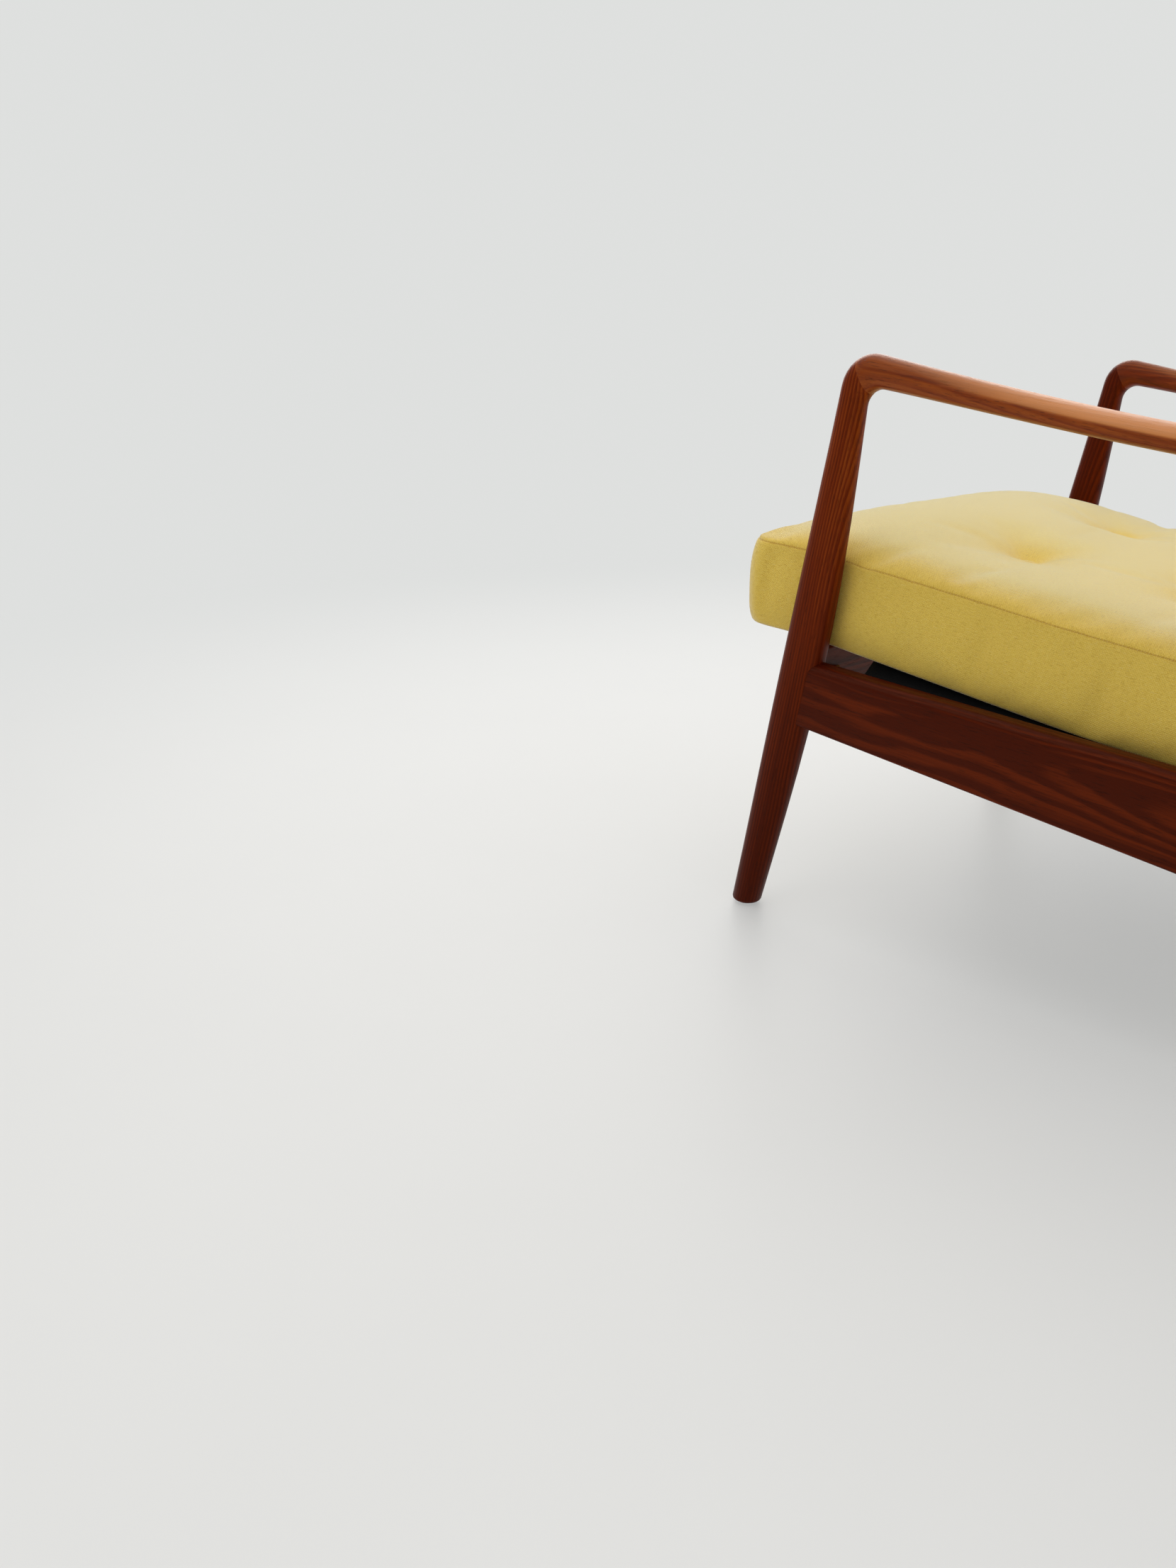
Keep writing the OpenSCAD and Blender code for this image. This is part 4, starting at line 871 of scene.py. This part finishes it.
def make_cushion(layout):
    """A cushion's sewn and filled cover, with the stitches of its upper seam."""
    piece, room, crown, seam_ring, base_ring = shell(layout)
    inflate(piece, room)
    mesh = piece.data
    points = np.array([v.co for v in mesh.vertices])
    if layout.name == "seat_cushion":
        points = settle_seat(points, layout)
    mesh.vertices.foreach_set("co", points.ravel())
    mesh.update()
    normals = np.array([v.normal for v in mesh.vertices])
    for ring in (seam_ring, base_ring):
        points[ring] -= normals[ring] * SEAM_SINK
    mesh.vertices.foreach_set("co", points.ravel())
    # Where the seams' grooves get painted shade:
    shade = np.zeros(len(points), np.float32)
    shade[seam_ring] = shade[base_ring] = 1
    mesh.attributes.new("seam_shade", "FLOAT", "POINT").data.foreach_set("value", shade)
    # Where the crown is painted paler, as painted sheen:
    mesh.attributes.new("crown", "FLOAT", "POINT").data.foreach_set("value", crown.astype(np.float32))
    mesh.update()
    threads = stitches(layout.name + "_stitching", points[seam_ring], normals[seam_ring])
    for polygon in mesh.polygons:
        polygon.use_smooth = True
    placed(piece, layout.place, WOOL, "wool_cover", layout.name + "_cover", layout.name + "_core")
    placed(threads, layout.place, THREAD, "wool_cover")
    fine = piece.modifiers.new("fine", "SUBSURF")
    fine.levels = fine.render_levels = 1


# A button's profile, from its top to its underside: radius and height in millimetres
BUTTON_PROFILE = [
    (0.0, 5.0),
    (3.2, 4.9),
    (6.2, 4.4),
    (8.8, 3.5),
    (10.4, 2.3),
    (10.9, 1.5),
    (10.3, 0.6),
    (8.6, 0.1),
    (0.0, 0.1),
]
BUTTON_SIDES = 36
GATHERS = 12
GATHER_DEPTH = 0.02


def make_buttons(layout):
    """Covered buttons: a crowned disc whose fabric is gathered under its rim."""
    floor = layout.seam + WELL_FLOOR + 0.0001
    widest = max(r for r, _ in BUTTON_PROFILE)
    sides = BUTTON_SIDES
    points, faces = [], []
    for x in (-TUFT_X, TUFT_X):
        for y in layout.rows:
            first = len(points)
            centre = np.array([x, y, floor])
            points.append(centre + (0, 0, BUTTON_PROFILE[0][1] / 1000))
            for r, z in BUTTON_PROFILE[1:-1]:
                for q in range(sides):
                    turn = 2 * math.pi * q / sides
                    gather = 1 - GATHER_DEPTH * (r / widest) ** 6 * (0.5 + 0.5 * math.cos(GATHERS * turn))
                    rim = np.array([r * gather * math.cos(turn), r * gather * math.sin(turn), z])
                    points.append(centre + rim / 1000)
            points.append(centre + (0, 0, BUTTON_PROFILE[-1][1] / 1000))
            rings = [first + 1 + k * sides for k in range(len(BUTTON_PROFILE) - 2)]
            for q in range(sides):
                w = (q + 1) % sides
                faces.append((first, rings[0] + q, rings[0] + w))
                for low, high in zip(rings, rings[1:]):
                    faces.append((low + q, high + q, high + w, low + w))
                faces.append((rings[-1] + q, len(points) - 1, rings[-1] + w))
    piece = solid(layout.name + "_covered_buttons", points, faces)
    placed(piece, layout.place, WOOL_BUTTON, "wool_cover", layout.name + "_buttons")


def add_box(points, faces, xs, ys, zs):
    """Adds a box to a mesh's points and faces, between each pair of ends."""
    first = len(points)
    (x0, x1), (y0, y1), (z0, z1) = sorted(xs), sorted(ys), sorted(zs)
    for z in (z0, z1):
        points += [(x0, y0, z), (x1, y0, z), (x1, y1, z), (x0, y1, z)]
    for quad in ((3, 2, 1, 0), (4, 5, 6, 7), (0, 1, 5, 4), (1, 2, 6, 5), (2, 3, 7, 6), (3, 0, 4, 7)):
        faces.append(tuple(first + q for q in quad))


# Zips: spans are from the middle of the zip outward, and depths are from the cover's side outward
ZIP_LEN = 0.376
ZIP_PITCH = 0.0024
TAPE_SPAN = (0.0009, 0.0052)
TAPE_DEPTHS = (-0.0012, 0.0)
TOOTH_HALF = 0.00045
TOOTH_SPAN = (-0.0012, 0.0022)
TOOTH_DEPTHS = (-0.0002, 0.0011)
SLIDER_FROM_END = 0.020
SLIDER_HALF = (0.0055, 0.0042)
SLIDER_DEPTHS = (0.0008, 0.0030)
PULL_ALONG = (-0.0240, 0.0020)
PULL_HALF = 0.0024
PULL_DEPTHS = (0.0030, 0.0042)
ZIP_ROUND = 0.0002


def make_zip(layout, y, outward):
    """Brass coil teeth between two woven tapes, with a slider and its pull, in the side at depth y."""
    z = layout.seam / 2
    half = ZIP_LEN / 2
    tapes, tape_faces, brass, brass_faces = [], [], [], []

    def depths(pair):
        return [y + outward * d for d in pair]

    for side in (-1, 1):
        add_box(tapes, tape_faces, (-half, half), depths(TAPE_DEPTHS), [z + side * d for d in TAPE_SPAN])
        for k in range(int(ZIP_LEN / ZIP_PITCH)):
            x = -half + (k + (0.25 if side > 0 else 0.75)) * ZIP_PITCH
            tooth = (x - TOOTH_HALF, x + TOOTH_HALF)
            add_box(brass, brass_faces, tooth, depths(TOOTH_DEPTHS), [z + side * d for d in TOOTH_SPAN])
    at = half - SLIDER_FROM_END
    wide, high = SLIDER_HALF
    add_box(brass, brass_faces, (at - wide, at + wide), depths(SLIDER_DEPTHS), (z - high, z + high))
    pull = [at + d for d in PULL_ALONG]
    add_box(brass, brass_faces, pull, depths(PULL_DEPTHS), (z - PULL_HALF, z + PULL_HALF))
    tape = solid(layout.name + "_zip_tape", tapes, tape_faces, flat=True)
    teeth = solid(layout.name + "_zip_teeth", brass, brass_faces, flat=True)
    for piece in (tape, teeth):
        soft = piece.modifiers.new("round", "BEVEL")
        soft.width, soft.segments = ZIP_ROUND, 1
    placed(tape, layout.place, WOOL_BUTTON, "wool_cover")
    placed(teeth, layout.place, BRASS, "zip_brass", layout.name + "_zip")


for layout in LAYOUTS:
    make_cushion(layout)
    make_buttons(layout)
make_zip(LAYOUTS[0], LAYOUTS[0].length, 1)
make_zip(LAYOUTS[1], 0.0, -1)
for name in ("seat_cushion_twine", "back_cushion_twine"):
    finish_node(name, THREAD)


# Platform cloth: black cotton over the straps, drawn down to its hems at the side rails

CLOTH_FLAT_X = 0.272
HEM_X = 0.3119
HEM_H = 0.0074
SAG = 0.0016
SAG_FROM = 0.55
STRAP_PITCH = 0.082
CREASE_H = 0.0004
CREASES = 4
EDGE_GAP = 0.0004
CLOTH_T = 0.0006
CLOTH_COLUMNS = 60
FALL_COLUMNS = 6
CLOTH_ROWS = 64
COTTON_YARN = 0.0006


def black_cotton():
    """Plain-woven black cotton with a little lint."""
    material, t = new_material("black_cotton")
    cloth = t.add("ShaderNodeUVMap", uv_map="cloth").outputs[0]
    u, v, _ = t.split(cloth)
    weft = t.math("SINE", t.math("MULTIPLY", u, math.pi / COTTON_YARN))
    warp = t.math("SINE", t.math("MULTIPLY", v, math.pi / COTTON_YARN))
    weave = t.math("MULTIPLY", weft, warp)
    lint = t.noise(t.scaled(cloth, 140, 140, 140), 4, 0.65)
    colour = t.mix(t.ramp(weave, -1, 1), (0.0045, 0.0048, 0.0052), (0.0095, 0.0098, 0.0105))
    colour = t.mix(t.ramp(lint, 0.62, 0.80, 0, 0.25), colour, (0.06, 0.06, 0.06))
    surface(
        t,
        {
            "Base Color": colour,
            "Roughness": 0.92,
            "Specular IOR Level": 0.2,
            "Normal": t.bump(weave, 0.0002, 0.6),
        },
    )
    return material


def make_platform_cloth():
    """The cloth as one sheet: sagging between the straps, and creased where it falls to its hems."""
    node = NODES["platform_cloth"]
    low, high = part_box("platform_cloth")
    packed = BVHTree.FromPolygons(
        [v.co.copy() for v in node.data.vertices], [tuple(p.vertices) for p in node.data.polygons]
    )

    def top(x, y):
        return packed.ray_cast(Vector((x, y, high.z + 0.1)), Vector((0, 0, -1)))[0].z

    inner = [CLOTH_FLAT_X * (2 * k / CLOTH_COLUMNS - 1) for k in range(CLOTH_COLUMNS + 1)]
    fall = [CLOTH_FLAT_X + (HEM_X - CLOTH_FLAT_X) * k / FALL_COLUMNS for k in range(1, FALL_COLUMNS + 1)]
    xs = [-x for x in reversed(fall)] + inner + fall
    hem = [HEM_H, HEM_H / 2]
    columns = len(xs) + 2 * len(hem)
    rng = random.Random(7)
    waves = [(rng.uniform(20, 60), rng.uniform(0, 6.3)) for _ in range(CREASES)]
    points, faces, cloth = [], [], []
    for j in range(CLOTH_ROWS + 1):
        y = low.y + EDGE_GAP + (high.y - low.y - 2 * EDGE_GAP) * j / CLOTH_ROWS
        line = []
        for x in xs:
            between = abs(math.sin(math.pi * (x / STRAP_PITCH + 0.5)))
            sag = SAG * max(0.0, between - SAG_FROM) / (1 - SAG_FROM) if abs(x) < CLOTH_FLAT_X - 0.01 else 0.0
            wave = sum(math.sin(f * y + 14 * abs(x) + p) for f, p in waves)
            fold = CREASE_H * wave if abs(x) > CLOTH_FLAT_X else 0.0
            line.append((x, y, top(x, y) - 0.0001 - sag + min(fold, 0.0)))
        left, right = line[0], line[-1]
        points += [(left[0], y, left[2] - h) for h in hem]
        points += line
        points += [(right[0], y, right[2] - h) for h in reversed(hem)]
    across = [0.0]
    for a, b in zip(points[:columns], points[1:columns]):
        across.append(across[-1] + math.dist(a, b))
    for j in range(CLOTH_ROWS):
        for i in range(columns - 1):
            a = j * columns + i
            faces.append((a, a + 1, a + 1 + columns, a + columns))
            y0, y1 = points[a][1], points[a + columns][1]
            cloth += [(across[i], y0), (across[i + 1], y0), (across[i + 1], y1), (across[i], y1)]
    piece = solid("platform_lining", points, faces)
    piece.data.uv_layers.new(name="cloth").data.foreach_set("uv", np.array(cloth).ravel())
    thick = piece.modifiers.new("thickness", "SOLIDIFY")
    thick.thickness, thick.offset = CLOTH_T, -1
    placed(piece, Matrix.Identity(4), black_cotton(), "platform_cotton", "platform_cloth")


make_platform_cloth()
finish_node("platform_tacks", STEEL)


# Stage: a pale floor that fades into an even backdrop, and soft light from above and from the left

BACKDROP = (0.735, 0.745, 0.735)
ROOM_LIGHT = (1.0, 0.99, 0.97, 1.0)
HORIZON_GLOW = 0.56
CEILING_GLOW = 0.78
DIM_SIDE = (0.92, 0.38)
DIM_TO = 0.42
BACKLIGHT = (-0.66, -0.62, 0.42)
BACKLIGHT_GAIN = 2.4


def make_world():
    """A room bright overhead and behind the chair, and dim on its left. The camera sees an even backdrop."""
    world = bpy.data.worlds.new("studio")
    world.use_nodes = True
    scene.world = world
    t = Tree(world.node_tree)
    way = t.add("ShaderNodeTexCoord").outputs["Generated"]
    x, y, height = t.split(way)
    glow = t.ramp(height, -0.1, 0.9, HORIZON_GLOW, CEILING_GLOW, smooth=True)
    room = t.math("ADD", t.math("MULTIPLY", x, DIM_SIDE[0]), t.math("MULTIPLY", y, DIM_SIDE[1]))
    glow = t.math("MULTIPLY", glow, t.ramp(room, 0.0, 0.85, 1.0, DIM_TO, smooth=True))
    behind = t.add("ShaderNodeVectorMath", {0: way, 1: BACKLIGHT}, operation="DOT_PRODUCT").outputs["Value"]
    glow = t.math("ADD", glow, t.ramp(behind, 0.80, 0.97, 0.0, BACKLIGHT_GAIN, smooth=True))
    lit = t.add("ShaderNodeBackground", {"Color": ROOM_LIGHT, "Strength": glow})
    seen = t.add("ShaderNodeBackground", {"Color": (*BACKDROP, 1.0), "Strength": 1.0})
    camera_ray = t.add("ShaderNodeLightPath").outputs["Is Camera Ray"]
    both = t.add("ShaderNodeMixShader", {0: camera_ray, 1: lit, 2: seen})
    t.add("ShaderNodeOutputWorld", {"Surface": both})


FLOOR_HALF = 14.0
FLOOR_PALE = (0.72, 0.715, 0.705)
FLOOR_SCUFFED = (0.66, 0.655, 0.65)
FLOOR_GLOW = 0.48
FLOOR_FADE = (0.9, 2.6)


def make_floor():
    """A plain painted floor that fades into the backdrop's colour with distance."""
    mesh = bpy.data.meshes.new("floor")
    corners = [(-1, -1), (1, -1), (1, 1), (-1, 1)]
    mesh.from_pydata([(x * FLOOR_HALF, y * FLOOR_HALF, 0) for x, y in corners], [], [(0, 1, 2, 3)])
    floor = bpy.data.objects.new("floor", mesh)
    scene.collection.objects.link(floor)
    material, t = new_material("studio_floor")
    coords = t.add("ShaderNodeTexCoord").outputs["Object"]
    away = t.add("ShaderNodeVectorMath", {0: coords}, operation="LENGTH").outputs["Value"]
    scuff = t.noise(t.scaled(coords, 3, 3, 3), 5, 0.6)
    colour = t.mix(t.ramp(scuff, 0.4, 0.8, 0.0, 0.3), FLOOR_PALE, FLOOR_SCUFFED)
    paint = {"Base Color": colour, "Roughness": 0.42, "Specular IOR Level": 0.25}
    shader = t.add("ShaderNodeBsdfPrincipled", paint)
    even = t.add("ShaderNodeEmission", {"Color": (*BACKDROP, 1.0), "Strength": 1.0})
    fade = t.ramp(away, *FLOOR_FADE, FLOOR_GLOW, 1.0, smooth=True)
    both = t.add("ShaderNodeMixShader", {0: fade, 1: shader, 2: even})
    t.add("ShaderNodeOutputMaterial", {"Surface": both})
    mesh.materials.append(material)


# Each light's name, place, width and height, watts and colour
LIGHTS = [
    ("overhead", (0.3, -0.3, 2.6), (2.2, 2.2), 14, (1, 1, 1)),
    ("window", (2.6, -0.9, 1.9), (1.6, 1.2), 9, (1.0, 0.985, 0.96)),
]
LIT_POINT = Vector((0, 0, 0.3))


def soft_light(name, at, size, watts, colour):
    """An area light that faces the middle of the chair."""
    data = bpy.data.lights.new(name, "AREA")
    data.shape = "RECTANGLE"
    data.size, data.size_y = size
    data.energy = watts
    data.color = colour
    light = bpy.data.objects.new(name, data)
    light.location = at
    light.rotation_mode = "QUATERNION"
    light.rotation_quaternion = (LIT_POINT - Vector(at)).to_track_quat("-Z", "Y")
    scene.collection.objects.link(light)


make_world()
make_floor()
for light in LIGHTS:
    soft_light(*light)
